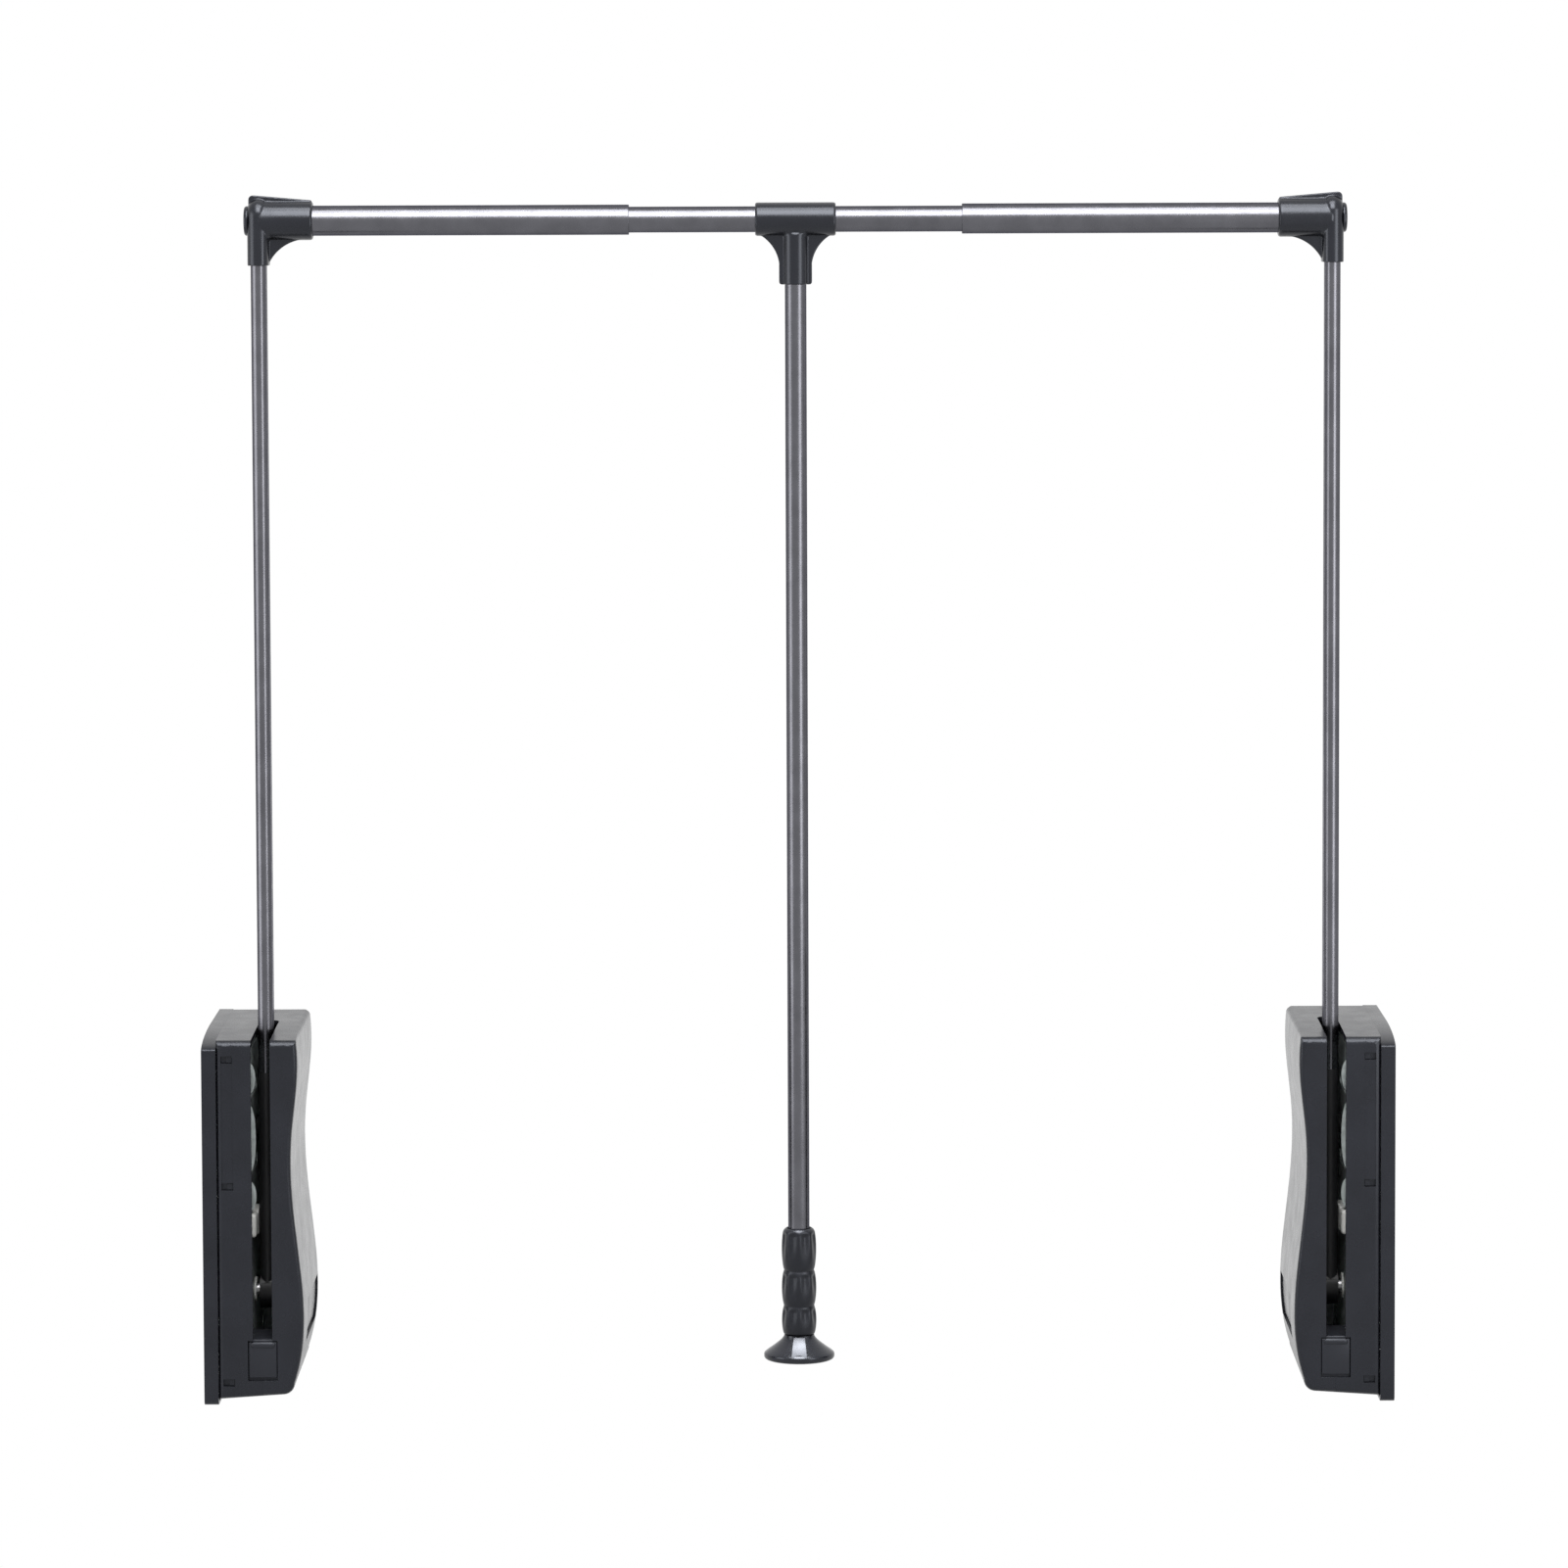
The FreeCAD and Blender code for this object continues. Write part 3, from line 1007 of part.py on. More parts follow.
def grip_foot():
    """Flared foot that the hand rests on, hollowed underneath."""
    place = on_xz(PIVOT_Y)
    rim = MIDDLE_X + FOOT_RIM / 2.0
    low = GRIP_BASE - FOOT_HEIGHT
    neck = place(MIDDLE_X + GRIP_NECK / 2.0, GRIP_BASE)
    shoulder = place(rim, low + FOOT_RIM_THICK)
    edges = [
        Part.LineSegment(place(MIDDLE_X, low + FOOT_HOLLOW), place(MIDDLE_X, GRIP_BASE)).toShape(),
        Part.LineSegment(place(MIDDLE_X, GRIP_BASE), neck).toShape(),
        bend(neck, place(MIDDLE_X + GRIP_NECK / 2.0, low + FOOT_RIM_THICK), shoulder),
        Part.LineSegment(shoulder, place(rim, low)).toShape(),
        Part.LineSegment(place(rim, low), place(rim - FOOT_HOLLOW, low)).toShape(),
        Part.LineSegment(place(rim - FOOT_HOLLOW, low), place(MIDDLE_X, low + FOOT_HOLLOW)).toShape(),
    ]
    return turned(Part.Wire(edges))


# ---------------------------------------------------------------- nodes
def mirrored(shape):
    """The same piece on the right side."""
    return shape.mirror(V(MIDDLE_X, 0, 0), V(1, 0, 0))


def left_pieces():
    """Every piece of the left side, by name, as a solid or a list of like solids."""
    shell = hollow_body()
    return {
        "wall_plate": wall_plate(),
        "outer_shell": outer_shell(shell),
        "inner_shell": inner_shell(shell),
        "shell_screws": shell_screws(),
        "slot_insert": slot_insert(),
        "chassis": chassis(),
        "outer_cheek": outer_cheek(),
        "spacer_posts": spacer_posts(),
        "arm_stop": arm_stop(),
        "arm_guide": arm_guide(),
        "pivot_bushes": pivot_bushes(),
        "spring_seat": spring_seat(),
        "damper_body": damper_body(),
        "damper_plunger": damper_plunger(),
        "pivot_shaft": pivot_shaft(),
        "arm_foot": arm_foot(),
        "arm_tube": arm_tube(),
        "spring_crank": spring_crank(),
        "crank_pin": crank_pin(),
        "spring_rod": spring_rod(),
        "spring_collar": spring_collar(),
        "spring": coil_spring(),
        "corner_connector": corner_connector(),
        "corner_cap": corner_cap(),
        "corner_screw": corner_screw(),
        "rail_tube": rail_tube(),
    }


def middle_pieces():
    """Every piece between the two sides."""
    return {
        "inner_rail_tube": inner_rail_tube(),
        "inner_rail_plugs": inner_rail_plugs(),
        "tee_connector": tee_connector(),
        "tee_screw": tee_screw(),
        "pull_rod_tube": pull_rod_tube(),
        "grip": grip(),
        "grip_foot": grip_foot(),
    }


def save(name, piece):
    """Write one node as a STEP file."""
    shape = Part.makeCompound(piece) if isinstance(piece, list) else piece
    shape.exportStep(os.path.join("parts", name + ".step"))


def build():
    """Make every node, left and right."""
    os.makedirs("parts", exist_ok=True)
    for name, piece in left_pieces().items():
        solids = piece if isinstance(piece, list) else [piece]
        save("left_" + name, piece)
        save("right_" + name, [mirrored(solid) for solid in solids])
    for name, piece in middle_pieces().items():
        save(name, piece)


build()
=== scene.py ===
import math

import bmesh
import bpy
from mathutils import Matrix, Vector


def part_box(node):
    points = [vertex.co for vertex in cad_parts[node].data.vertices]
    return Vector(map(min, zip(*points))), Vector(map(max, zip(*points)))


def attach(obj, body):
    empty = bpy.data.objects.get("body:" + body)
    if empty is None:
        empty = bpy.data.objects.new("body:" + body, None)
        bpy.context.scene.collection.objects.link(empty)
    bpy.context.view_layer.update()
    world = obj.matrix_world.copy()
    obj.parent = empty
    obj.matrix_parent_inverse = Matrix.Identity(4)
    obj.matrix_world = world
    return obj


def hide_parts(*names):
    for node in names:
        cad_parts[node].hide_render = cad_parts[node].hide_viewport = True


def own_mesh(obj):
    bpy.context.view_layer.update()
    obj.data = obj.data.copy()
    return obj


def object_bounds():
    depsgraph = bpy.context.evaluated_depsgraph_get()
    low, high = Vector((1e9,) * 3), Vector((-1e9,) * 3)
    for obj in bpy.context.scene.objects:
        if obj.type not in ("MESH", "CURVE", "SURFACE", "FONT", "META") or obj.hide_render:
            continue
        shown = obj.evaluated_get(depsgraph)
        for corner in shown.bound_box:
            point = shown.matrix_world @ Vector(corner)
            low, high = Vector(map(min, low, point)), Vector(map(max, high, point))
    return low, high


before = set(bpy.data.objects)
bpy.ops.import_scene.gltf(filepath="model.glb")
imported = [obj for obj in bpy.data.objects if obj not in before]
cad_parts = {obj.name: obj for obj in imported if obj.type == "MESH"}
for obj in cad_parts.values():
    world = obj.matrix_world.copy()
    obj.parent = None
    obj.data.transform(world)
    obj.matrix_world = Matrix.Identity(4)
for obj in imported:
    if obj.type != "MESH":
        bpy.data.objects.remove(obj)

cad_low, cad_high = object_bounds()


# ==== Wall plates =====================================================================
# A flanged plate of black glass-filled nylon goes against each wall, and the housing
# clips and screws on to it. Moulded in a spark-eroded tool, so its skin is a fine satin
# grain; its rim shows as a step beside the housing.
SIDES = ("left", "right")
HOUSING_BLACK = (0.0070, 0.0074, 0.0100)
BLACK_GLEAM = (0.86, 0.90, 1.0)                # black plastics reflect slightly cool
BLACK_IOR = 1.40
NOISE_SPAN = (0.3, 0.7)                        # what the noise mostly stays between
TINT_SPAN = (0.32, 0.68)
GLOSS_SCALE = 2.3                              # gloss patches are this much finer than colour
BUMP_DEEP = 0.0001
SAME_POINT = 1e-6                              # points closer than this are one
FLAT_ANGLE = math.radians(0.3)
EDGE_ANGLE = math.radians(32)                  # edges sharper than this are rounded
EDGE_STEPS = 2


def shader(owner, kind, **values):
    """A new node in a material or world, with its sockets set."""
    node = owner.node_tree.nodes.new(kind)
    for socket, value in values.items():
        node.inputs[socket.replace("_", " ")].default_value = value
    return node


def wire(owner, start, output, end, socket):
    """Join an output to a socket."""
    owner.node_tree.links.new(start.outputs[output], end.inputs[socket])


def clouds(material, scale, detail=2.0):
    """Noise in the piece's own coordinates."""
    place = shader(material, "ShaderNodeTexCoord")
    noise = shader(material, "ShaderNodeTexNoise", Scale=scale, Detail=detail)
    wire(material, place, "Object", noise, "Vector")
    return noise


def spread(material, noise, low, high):
    """The noise read as a value between low and high."""
    span = shader(material, "ShaderNodeMapRange", From_Min=NOISE_SPAN[0],
                  From_Max=NOISE_SPAN[1], To_Min=low, To_Max=high)
    wire(material, noise, "Fac", span, "Value")
    return span


def tint(material, noise, dark, light):
    """The noise read as a colour between dark and light."""
    ramp = shader(material, "ShaderNodeValToRGB")
    for stop, position, colour in zip(ramp.color_ramp.elements, TINT_SPAN, (dark, light)):
        stop.position = position
        stop.color = (*colour, 1)
    wire(material, noise, "Fac", ramp, "Fac")
    return ramp


def finish(name, dark, light, rough, grain, relief, metal=0.0, cloud=30.0, ior=1.45,
           gleam=(1, 1, 1)):
    """A finish: cloudy colour between two tones, uneven gloss and a fine grain in relief."""
    material = bpy.data.materials.new(name)
    material.use_nodes = True
    skin = material.node_tree.nodes["Principled BSDF"]
    skin.inputs["Metallic"].default_value = metal
    skin.inputs["IOR"].default_value = ior
    skin.inputs["Specular Tint"].default_value = (*gleam, 1)
    patches = tint(material, clouds(material, cloud, 3.0), dark, light)
    wire(material, patches, "Color", skin, "Base Color")
    gloss = spread(material, clouds(material, GLOSS_SCALE * cloud), *rough)
    wire(material, gloss, "Result", skin, "Roughness")
    bump = shader(material, "ShaderNodeBump", Strength=relief, Distance=BUMP_DEEP)
    wire(material, clouds(material, grain), "Fac", bump, "Height")
    wire(material, bump, "Normal", skin, "Normal")
    return material


def lighter(colour, gain):
    """The colour made lighter or darker by a factor."""
    return tuple(channel * gain for channel in colour)


def wear(piece, material):
    """Give a piece one finish all over."""
    piece.data.materials.clear()
    piece.data.materials.append(material)


def soften(name, material, radius):
    """A CAD piece in its finish, its triangles welded and its edges rounded by modifiers."""
    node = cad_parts[name]
    wear(node, material)
    node.data.shade_smooth()
    weld = node.modifiers.new("weld", "WELD")
    weld.merge_threshold = SAME_POINT
    merge = node.modifiers.new("flat_faces", "DECIMATE")
    merge.decimate_type = "DISSOLVE"
    merge.angle_limit = FLAT_ANGLE
    edges = node.modifiers.new("edge_radius", "BEVEL")
    edges.width = radius
    edges.segments = EDGE_STEPS
    edges.angle_limit = EDGE_ANGLE
    edges.miter_outer = "MITER_ARC"
    even = node.modifiers.new("even_normals", "WEIGHTED_NORMAL")
    even.keep_sharp = False


def soften_both(material, radius, *names):
    """The left and the right CAD piece of each name, in one finish."""
    for side in SIDES:
        for name in names:
            soften(f"{side}_{name}", material, radius)


moulded_black = finish("moulded_black", lighter(HOUSING_BLACK, 0.8),
                       lighter(HOUSING_BLACK, 1.25), rough=(0.25, 0.30), grain=1800.0,
                       relief=0.03, ior=BLACK_IOR, gleam=BLACK_GLEAM)
soften_both(moulded_black, 0.0004, "wall_plate")


# ==== Steel chassis, cheeks and spring seats ==========================================
# Pressed from 2 mm sheet and zinc plated, which leaves a pale grey skin with a faint
# crystal pattern. The cheek beside the arm shows through the slot.
ZINC = (0.50, 0.55, 0.54)

zinc_plate = finish("zinc_plate", lighter(ZINC, 0.72), ZINC, rough=(0.42, 0.56),
                    grain=500.0, relief=0.1, metal=0.75, cloud=160.0)
soften_both(zinc_plate, 0.00025, "chassis", "outer_cheek", "spring_seat")


# ==== Posts, shafts, pins, rods and shell screws ======================================
# Turned from free-cutting steel and left bright, with a faint uneven gloss from the tool.
BRIGHT = (0.58, 0.58, 0.59)

bright_steel = finish("bright_steel", lighter(BRIGHT, 0.85), BRIGHT, rough=(0.2, 0.32),
                      grain=900.0, relief=0.1, metal=1.0, cloud=90.0)
soften_both(bright_steel, 0.0002, "spacer_posts", "pivot_shaft", "crank_pin", "spring_rod",
            "damper_plunger", "shell_screws")


# ==== Nylon bushes, arm guides and rail plugs =========================================
# Natural white nylon, slightly yellow and waxy where the arm and the tubes rub on it.
NYLON = (0.80, 0.80, 0.77)

white_nylon = finish("white_nylon", lighter(NYLON, 0.93), NYLON, rough=(0.35, 0.5),
                     grain=700.0, relief=0.06, cloud=70.0)
soften_both(white_nylon, 0.0005, "pivot_bushes", "arm_guide")
soften("inner_rail_plugs", white_nylon, 0.0003)


# ==== Arm feet, cranks and spring collars =============================================
# Zinc castings under a black coat, slightly orange-peeled. The foot carries the arm on
# its shaft, the crank turns with it and the collar passes the spring's push to the rod.
CASTING_BLACK = (0.008, 0.008, 0.009)

black_casting = finish("black_casting", CASTING_BLACK, lighter(CASTING_BLACK, 1.6),
                       rough=(0.42, 0.58), grain=420.0, relief=0.25)
soften_both(black_casting, 0.0004, "arm_foot", "spring_crank", "spring_collar")


# ==== Stops and dampers ===============================================================
# A ring of matt black rubber stops the raised arm, and a small moulded damper behind it
# slows the last of its travel.
STOP_BLACK = (0.009, 0.009, 0.009)

stop_rubber = finish("stop_rubber", STOP_BLACK, lighter(STOP_BLACK, 1.8),
                     rough=(0.7, 0.85), grain=600.0, relief=0.3)
soften_both(stop_rubber, 0.0005, "arm_stop")
soften_both(moulded_black, 0.0004, "damper_body")


# ==== Coil springs ====================================================================
# Phosphated spring wire, close to black, wound round the spring rod. Each pushes its rod
# down and shortens as the arm comes down; this coil moves with its rod and keeps one length.
SPRING_DARK = (0.05, 0.05, 0.055)
SPRING_LIGHT = (0.09, 0.09, 0.095)
SPRING_WIRE = 0.0028
SPRING_TURNS = 9
WIRE_FACETS = 10
TURN_STEPS = 28
WIDE = cad_high.x                              # wall face to wall face

spring_steel = finish("spring_steel", SPRING_DARK, SPRING_LIGHT, rough=(0.3, 0.42),
                      grain=500.0, relief=0.15, metal=1.0)


def deselect():
    """Leave edit mode and select nothing."""
    if bpy.context.mode != "OBJECT":
        bpy.ops.object.mode_set(mode="OBJECT")
    bpy.ops.object.select_all(action="DESELECT")


def only(piece):
    """Select this piece alone."""
    deselect()
    bpy.context.view_layer.objects.active = piece
    piece.select_set(True)


def named(name):
    """The piece that was just added, under its name."""
    piece = bpy.context.object
    piece.name = name
    piece.data.name = name
    return piece


def pick(piece, kind, wanted):
    """Go into edit mode and select the vertices, edges or faces that pass a test."""
    if bpy.context.mode != "EDIT_MESH":
        only(piece)
        bpy.ops.object.mode_set(mode="EDIT")
    bpy.ops.mesh.select_mode(type=kind)
    bpy.ops.mesh.select_all(action="DESELECT")
    mesh = bmesh.from_edit_mesh(piece.data)
    for part in {"VERT": mesh.verts, "EDGE": mesh.edges, "FACE": mesh.faces}[kind]:
        if wanted(part):
            part.select_set(True)
    mesh.select_flush_mode()
    bmesh.update_edit_mesh(piece.data)


def settle(piece):
    """Back to object mode, with the piece's place put into its mesh."""
    only(piece)
    bpy.ops.object.transform_apply(location=True, rotation=True, scale=True)
    return piece


def apply_modifier(piece, kind, **values):
    """Add a modifier with its settings and apply it."""
    modifier = piece.modifiers.new(kind.lower(), kind)
    for key, value in values.items():
        setattr(modifier, key, value)
    only(piece)
    bpy.ops.object.modifier_apply(modifier=modifier.name)


def tidy_mesh(piece):
    """Merge doubles and point the faces outwards."""
    pick(piece, "VERT", lambda vert: True)
    bpy.ops.mesh.remove_doubles(threshold=SAME_POINT)
    bpy.ops.mesh.select_all(action="SELECT")
    bpy.ops.mesh.normals_make_consistent(inside=False)
    deselect()


def seat(piece, body, material, slot, *nodes):
    """Finish a piece: its material, the body it moves with, the CAD nodes it stands for."""
    wear(piece, material)
    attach(piece, body)
    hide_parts(*nodes)


def both_sides(piece):
    """The left piece and its mirror image about the middle, which has its own mesh."""
    only(piece)
    bpy.ops.object.duplicate()
    copy = named(piece.name.replace("left", "right"))
    copy.scale.x = -1
    copy.location.x = WIDE
    settle(copy)
    tidy_mesh(copy)
    return (("left", piece), ("right", copy))


spring_low, spring_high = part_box("left_spring")
rod_low, rod_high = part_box("left_spring_rod")
spring_axis = (spring_low + spring_high) / 2
coil_radius = (spring_high.x - spring_low.x - SPRING_WIRE) / 2
coil_pitch = (spring_high.z - spring_low.z - SPRING_WIRE) / SPRING_TURNS
deselect()
bpy.ops.mesh.primitive_circle_add(
    vertices=WIRE_FACETS, radius=SPRING_WIRE / 2,
    location=(spring_axis.x, (rod_low.y + rod_high.y) / 2, spring_low.z + SPRING_WIRE / 2))
coil = named("left_coil_spring")
pick(coil, "VERT", lambda vert: True)
bpy.ops.transform.rotate(value=math.pi / 2, orient_axis="X", center_override=coil.location)
bpy.ops.transform.translate(value=(coil_radius, 0, 0))
apply_modifier(coil, "SCREW", axis="Z", angle=2 * math.pi, screw_offset=coil_pitch,
               iterations=SPRING_TURNS, steps=TURN_STEPS, render_steps=TURN_STEPS,
               use_smooth_shade=True)
pick(coil, "EDGE", lambda edge: edge.is_boundary)
bpy.ops.mesh.edge_face_add()
settle(coil)
tidy_mesh(coil)
coil.data.shade_smooth()
for side, piece in both_sides(coil):
    seat(piece, side + "_spring_rod", spring_steel, "spring_steel", side + "_spring")
    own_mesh(piece)


# ==== Housing shells ==================================================================
# Two halves of the same black nylon clip over the chassis and are drawn together by
# three long screws. The slot for the arm runs up the seam and over the top, and the
# room side swells to a belly with a bare sunk field on it.
soften_both(moulded_black, 0.0005, "outer_shell", "inner_shell")


# ==== Lips of the cheek plates ========================================================
# Three curved lips stand out from the front edge of each zinc plated cheek and keep the
# arm off that edge. They show as pale arcs in the slot.
CHEEK_LIPS = ((0.0970, 0.0212), (0.0545, 0.0470), (0.0140, 0.0204))   # middle level, length
LIP_WIDE = 0.0041
LIP_THICK = 0.0013
LIP_BEDDED = 0.0006                            # how far a lip goes into the cheek's edge
LIP_BACK = 0.0005                              # its straight side, from the cheek's face
LIP_EDGE = 0.0004
LIP_FACETS = 96
CRISP = 35                                     # edges sharper than this, in degrees, stay crisp


def round_edges(piece, radius, segments, wanted):
    """Round the chosen edges of a piece."""
    pick(piece, "EDGE", wanted)
    bpy.ops.mesh.bevel(offset=radius, offset_type="OFFSET", segments=segments, profile=0.5,
                       affect="EDGES")
    deselect()


def joined(name, *pieces):
    """Several closed forms made one piece."""
    deselect()
    for piece in pieces:
        piece.select_set(True)
    bpy.context.view_layer.objects.active = pieces[0]
    bpy.ops.object.join()
    return named(name)


def smooth_by_angle(piece, degrees=CRISP):
    """Shade smooth, with edges sharper than the angle kept crisp."""
    only(piece)
    bpy.ops.object.shade_smooth_by_angle(angle=math.radians(degrees))


cheek_low, cheek_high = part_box("left_outer_cheek")
lip_front = cheek_low.y + LIP_BEDDED - LIP_THICK
lips = []
for level, length in CHEEK_LIPS:
    deselect()
    bpy.ops.mesh.primitive_cylinder_add(
        vertices=LIP_FACETS, radius=1, depth=LIP_THICK, rotation=(math.pi / 2, 0, 0),
        location=(cheek_high.x, lip_front + LIP_THICK / 2, level))
    blade = named("cheek_lip")
    blade.scale = (LIP_WIDE, length / 2, 1)
    settle(blade)
    pick(blade, "FACE", lambda face: True)
    bpy.ops.mesh.bisect(plane_co=(cheek_high.x - LIP_BACK, 0, 0), plane_no=(-1, 0, 0),
                        use_fill=True, clear_outer=True)
    round_edges(blade, LIP_EDGE, 2, lambda edge: all(
        abs(vert.co.y - lip_front) < SAME_POINT for vert in edge.verts))
    lips.append(blade)
for side, piece in both_sides(joined("left_cheek_lips", *lips)):
    smooth_by_angle(piece)
    seat(piece, side + "_housing", zinc_plate, "zinc_sheet")


# ==== Noses of the arm guides =========================================================
# The white nylon guide between cheek and arm ends in a rounded nose, which leads the arm
# in as it comes home and shows as a bright spot in the slot.
NOSE_DEEP = 0.013
NOSE_BEDDED = 0.001                            # how far the nose goes into the guide
NOSE_SLACK = 0.0001                            # narrower than the guide by this, each side
NOSE_ROUND = 0.0025


def slab(name, low, high):
    """A box between two corners, under its name."""
    deselect()
    low, high = Vector(low), Vector(high)
    bpy.ops.mesh.primitive_cube_add(size=1, location=(low + high) / 2, scale=high - low)
    return settle(named(name))


guide_low, guide_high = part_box("left_arm_guide")
nose = slab("left_guide_nose",
            (guide_low.x + NOSE_SLACK, guide_low.y - NOSE_DEEP, guide_low.z),
            (guide_high.x - NOSE_SLACK, guide_low.y + NOSE_BEDDED, guide_high.z))
round_edges(nose, NOSE_ROUND, 6, lambda edge: any(
    vert.co.y < guide_low.y - NOSE_BEDDED for vert in edge.verts))
for side, piece in both_sides(nose):
    smooth_by_angle(piece)
    seat(piece, side + "_housing", white_nylon, "white_nylon")


# ==== Slot inserts ====================================================================
# A rubber insert snaps into the foot of each slot: a plain panel, a round lip across its
# top edge and, behind them, a sloping pad that the lowered arm lands on.
INSERT_RUBBER = (0.0085, 0.0090, 0.0115)
LIP_DROP = 0.0056                              # lip below the top of the insert
LIP_HEIGHT = 0.0052
LIP_DEEP = 0.0056
LIP_SHORT = 0.001                              # at each end
LIP_ROUND = 0.0024
PANEL_LAND = 0.0008                            # panel behind the front of the shell
PANEL_THICK = 0.0022
PANEL_FOOT = 0.0105                            # above the foot of the insert
PANEL_GAP = 0.0004                             # between panel and top of the lip
PANEL_ROUND = 0.0007
PAD_LAND = 0.0028                              # pad behind the front of the shell
PAD_LONG = 0.020
PAD_SLOPE = 0.0046                             # its front edge is this much lower
PAD_ROUND = 0.0008

insert_rubber = finish("insert_rubber", INSERT_RUBBER, lighter(INSERT_RUBBER, 1.3),
                       rough=(0.34, 0.44), grain=1500.0, relief=0.05, ior=BLACK_IOR,
                       gleam=BLACK_GLEAM)
insert_low, insert_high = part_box("left_slot_insert")
shell_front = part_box("left_outer_shell")[0].y
lip_top = insert_high.z - LIP_DROP
lip = slab("lip", (insert_low.x + LIP_SHORT, shell_front, lip_top - LIP_HEIGHT),
           (insert_high.x - LIP_SHORT, shell_front + LIP_DEEP, lip_top))
round_edges(lip, LIP_ROUND, 6, lambda edge: True)
panel = slab("panel",
             (insert_low.x, shell_front + PANEL_LAND, insert_low.z + PANEL_FOOT),
             (insert_high.x, shell_front + PANEL_LAND + PANEL_THICK, lip_top - PANEL_GAP))
round_edges(panel, PANEL_ROUND, 3, lambda edge: any(
    vert.co.y < shell_front + PANEL_LAND + PANEL_ROUND for vert in edge.verts))
pad = slab("pad", (insert_low.x, shell_front + PAD_LAND, insert_low.z),
           (insert_high.x, insert_low.y + PAD_LONG, insert_high.z))
pick(pad, "EDGE", lambda edge: all(
    vert.co.z > insert_high.z - PAD_ROUND and vert.co.y < shell_front + PAD_LAND + PAD_ROUND
    for vert in edge.verts))
bpy.ops.transform.translate(value=(0, 0, -PAD_SLOPE))
round_edges(pad, PAD_ROUND, 3, lambda edge: all(
    vert.co.z > insert_high.z - PAD_SLOPE - PAD_ROUND for vert in edge.verts))
for side, piece in both_sides(joined("left_insert_moulding", lip, panel, pad)):
    smooth_by_angle(piece)
    seat(piece, side + "_housing", insert_rubber, "insert_rubber", side + "_slot_insert")


# ==== Belly plates ====================================================================
# A bare moulded plate of the housing's nylon lies in the sunk field of each belly. It
# follows the belly's curve a little below it, with a narrow groove all round.
MIDDLE = WIDE / 2
FIELD_REAR = 0.0690
FIELD_LONG = 0.0930
FIELD_LOW = -0.0915
FIELD_HIGH = -0.0625
FIELD_THICK = 0.0019
FIELD_BEDDED = 0.0002                          # how far the plate goes into the field's floor
FIELD_STEPS = 24
FIELD_EDGE = 0.0004
CORNER_TURN = 1.2                              # faces that meet at more than this form a corner


def is_corner(edge):
    """Whether two faces meet at the edge at about a right angle."""
    return len(edge.link_faces) == 2 and edge.calc_face_angle(0) > CORNER_TURN


plate = slab("left_belly_plate", (0, FIELD_REAR - FIELD_LONG, FIELD_LOW),
             (FIELD_THICK, FIELD_REAR, FIELD_HIGH))
pick(plate, "EDGE", lambda edge: edge.verts[0].co.z != edge.verts[1].co.z)
bpy.ops.mesh.subdivide(number_cuts=FIELD_STEPS - 1)
for step in range(FIELD_STEPS + 1):
    level = FIELD_LOW + (FIELD_HIGH - FIELD_LOW) * step / FIELD_STEPS
    field_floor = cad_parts["left_inner_shell"].ray_cast(
        Vector((MIDDLE, FIELD_REAR - FIELD_LONG / 2, level)), Vector((-1, 0, 0)))[1].x
    pick(plate, "VERT", lambda vert: abs(vert.co.z - level) < 10 * SAME_POINT)
    bpy.ops.transform.translate(value=(field_floor - FIELD_BEDDED, 0, 0))
round_edges(plate, FIELD_EDGE, 2, lambda edge: is_corner(edge)
            and sum(face.normal.x > 0.7 for face in edge.link_faces) == 1)
for side, piece in both_sides(plate):
    smooth_by_angle(piece)
    seat(piece, side + "_housing", moulded_black, "housing_plastic")


# ==== Arm tubes, rail tubes and pull rod ==============================================
# Welded steel tube under a gunmetal lacquer with fine metal flake. The arms are flat
# ovals, the rail is a smaller tube that slides in two larger ones, the pull rod is round.
GUNMETAL = (0.118, 0.118, 0.131)
GUNMETAL_EDGE = (0.40, 0.40, 0.43)
TUBE_EDGE = 0.0003

gunmetal = finish("gunmetal", lighter(GUNMETAL, 0.9), lighter(GUNMETAL, 1.08),
                  rough=(0.24, 0.30), grain=2400.0, relief=0.002, metal=1.0, cloud=60.0,
                  gleam=GUNMETAL_EDGE)
soften_both(gunmetal, TUBE_EDGE, "arm_tube", "rail_tube")
soften("inner_rail_tube", gunmetal, TUBE_EDGE)
soften("pull_rod_tube", gunmetal, TUBE_EDGE)


# ==== Corner connectors ===============================================================
# Injection moulded elbows in glossy black nylon: a flat oval post takes the arm, a sleeve
# takes the rail, and a rib over the top and a web below stiffen the corner.
CONNECTOR_BLACK = (0.0050, 0.0053, 0.0074)
CONNECTOR_IOR = 1.45
POST_WIDE = 0.0148
POST_DEEP = 0.0263
POST_DROP = 0.031                              # rail axis to the mouth of the arm socket
POST_RISE = 0.0152                             # rail axis to the top of the post
POST_SHOULDER = 0.0118
POST_FLAT = 0.0006                             # flat strip left on its narrow faces
ARM_END = 0.013                                # rail axis to the end of the arm socket
SLEEVE_OUTER = 0.027
SLEEVE_SOCKET = 0.027
SLEEVE_CHAMFER = 0.0016
FIT = 0.00005                                  # play all round a tube in its socket
RIB_THICK = 0.006
RIB_START = 0.0006                             # from the outer face of the elbow
RIB_FOOT = 0.0105                              # rail axis to the foot of rib and top of web
RIB_RISES = (0.0181, 0.0143)                   # rail axis to its top, outside and inside
RIB_ROUND = 0.0034
RIB_SHORT = 0.001                              # rib and web end this far before the sleeve
WEB_THICK = 0.007
WEB_START = 0.002                              # from the middle of the arm
WEB_FOOT = 0.0004                              # above the foot of the post
WEB_ARC = 0.0300
WEB_CENTRE = (0.0415, -0.0118)                 # of that arc, from the post's outer foot
FILLET_REACH = 0.0022
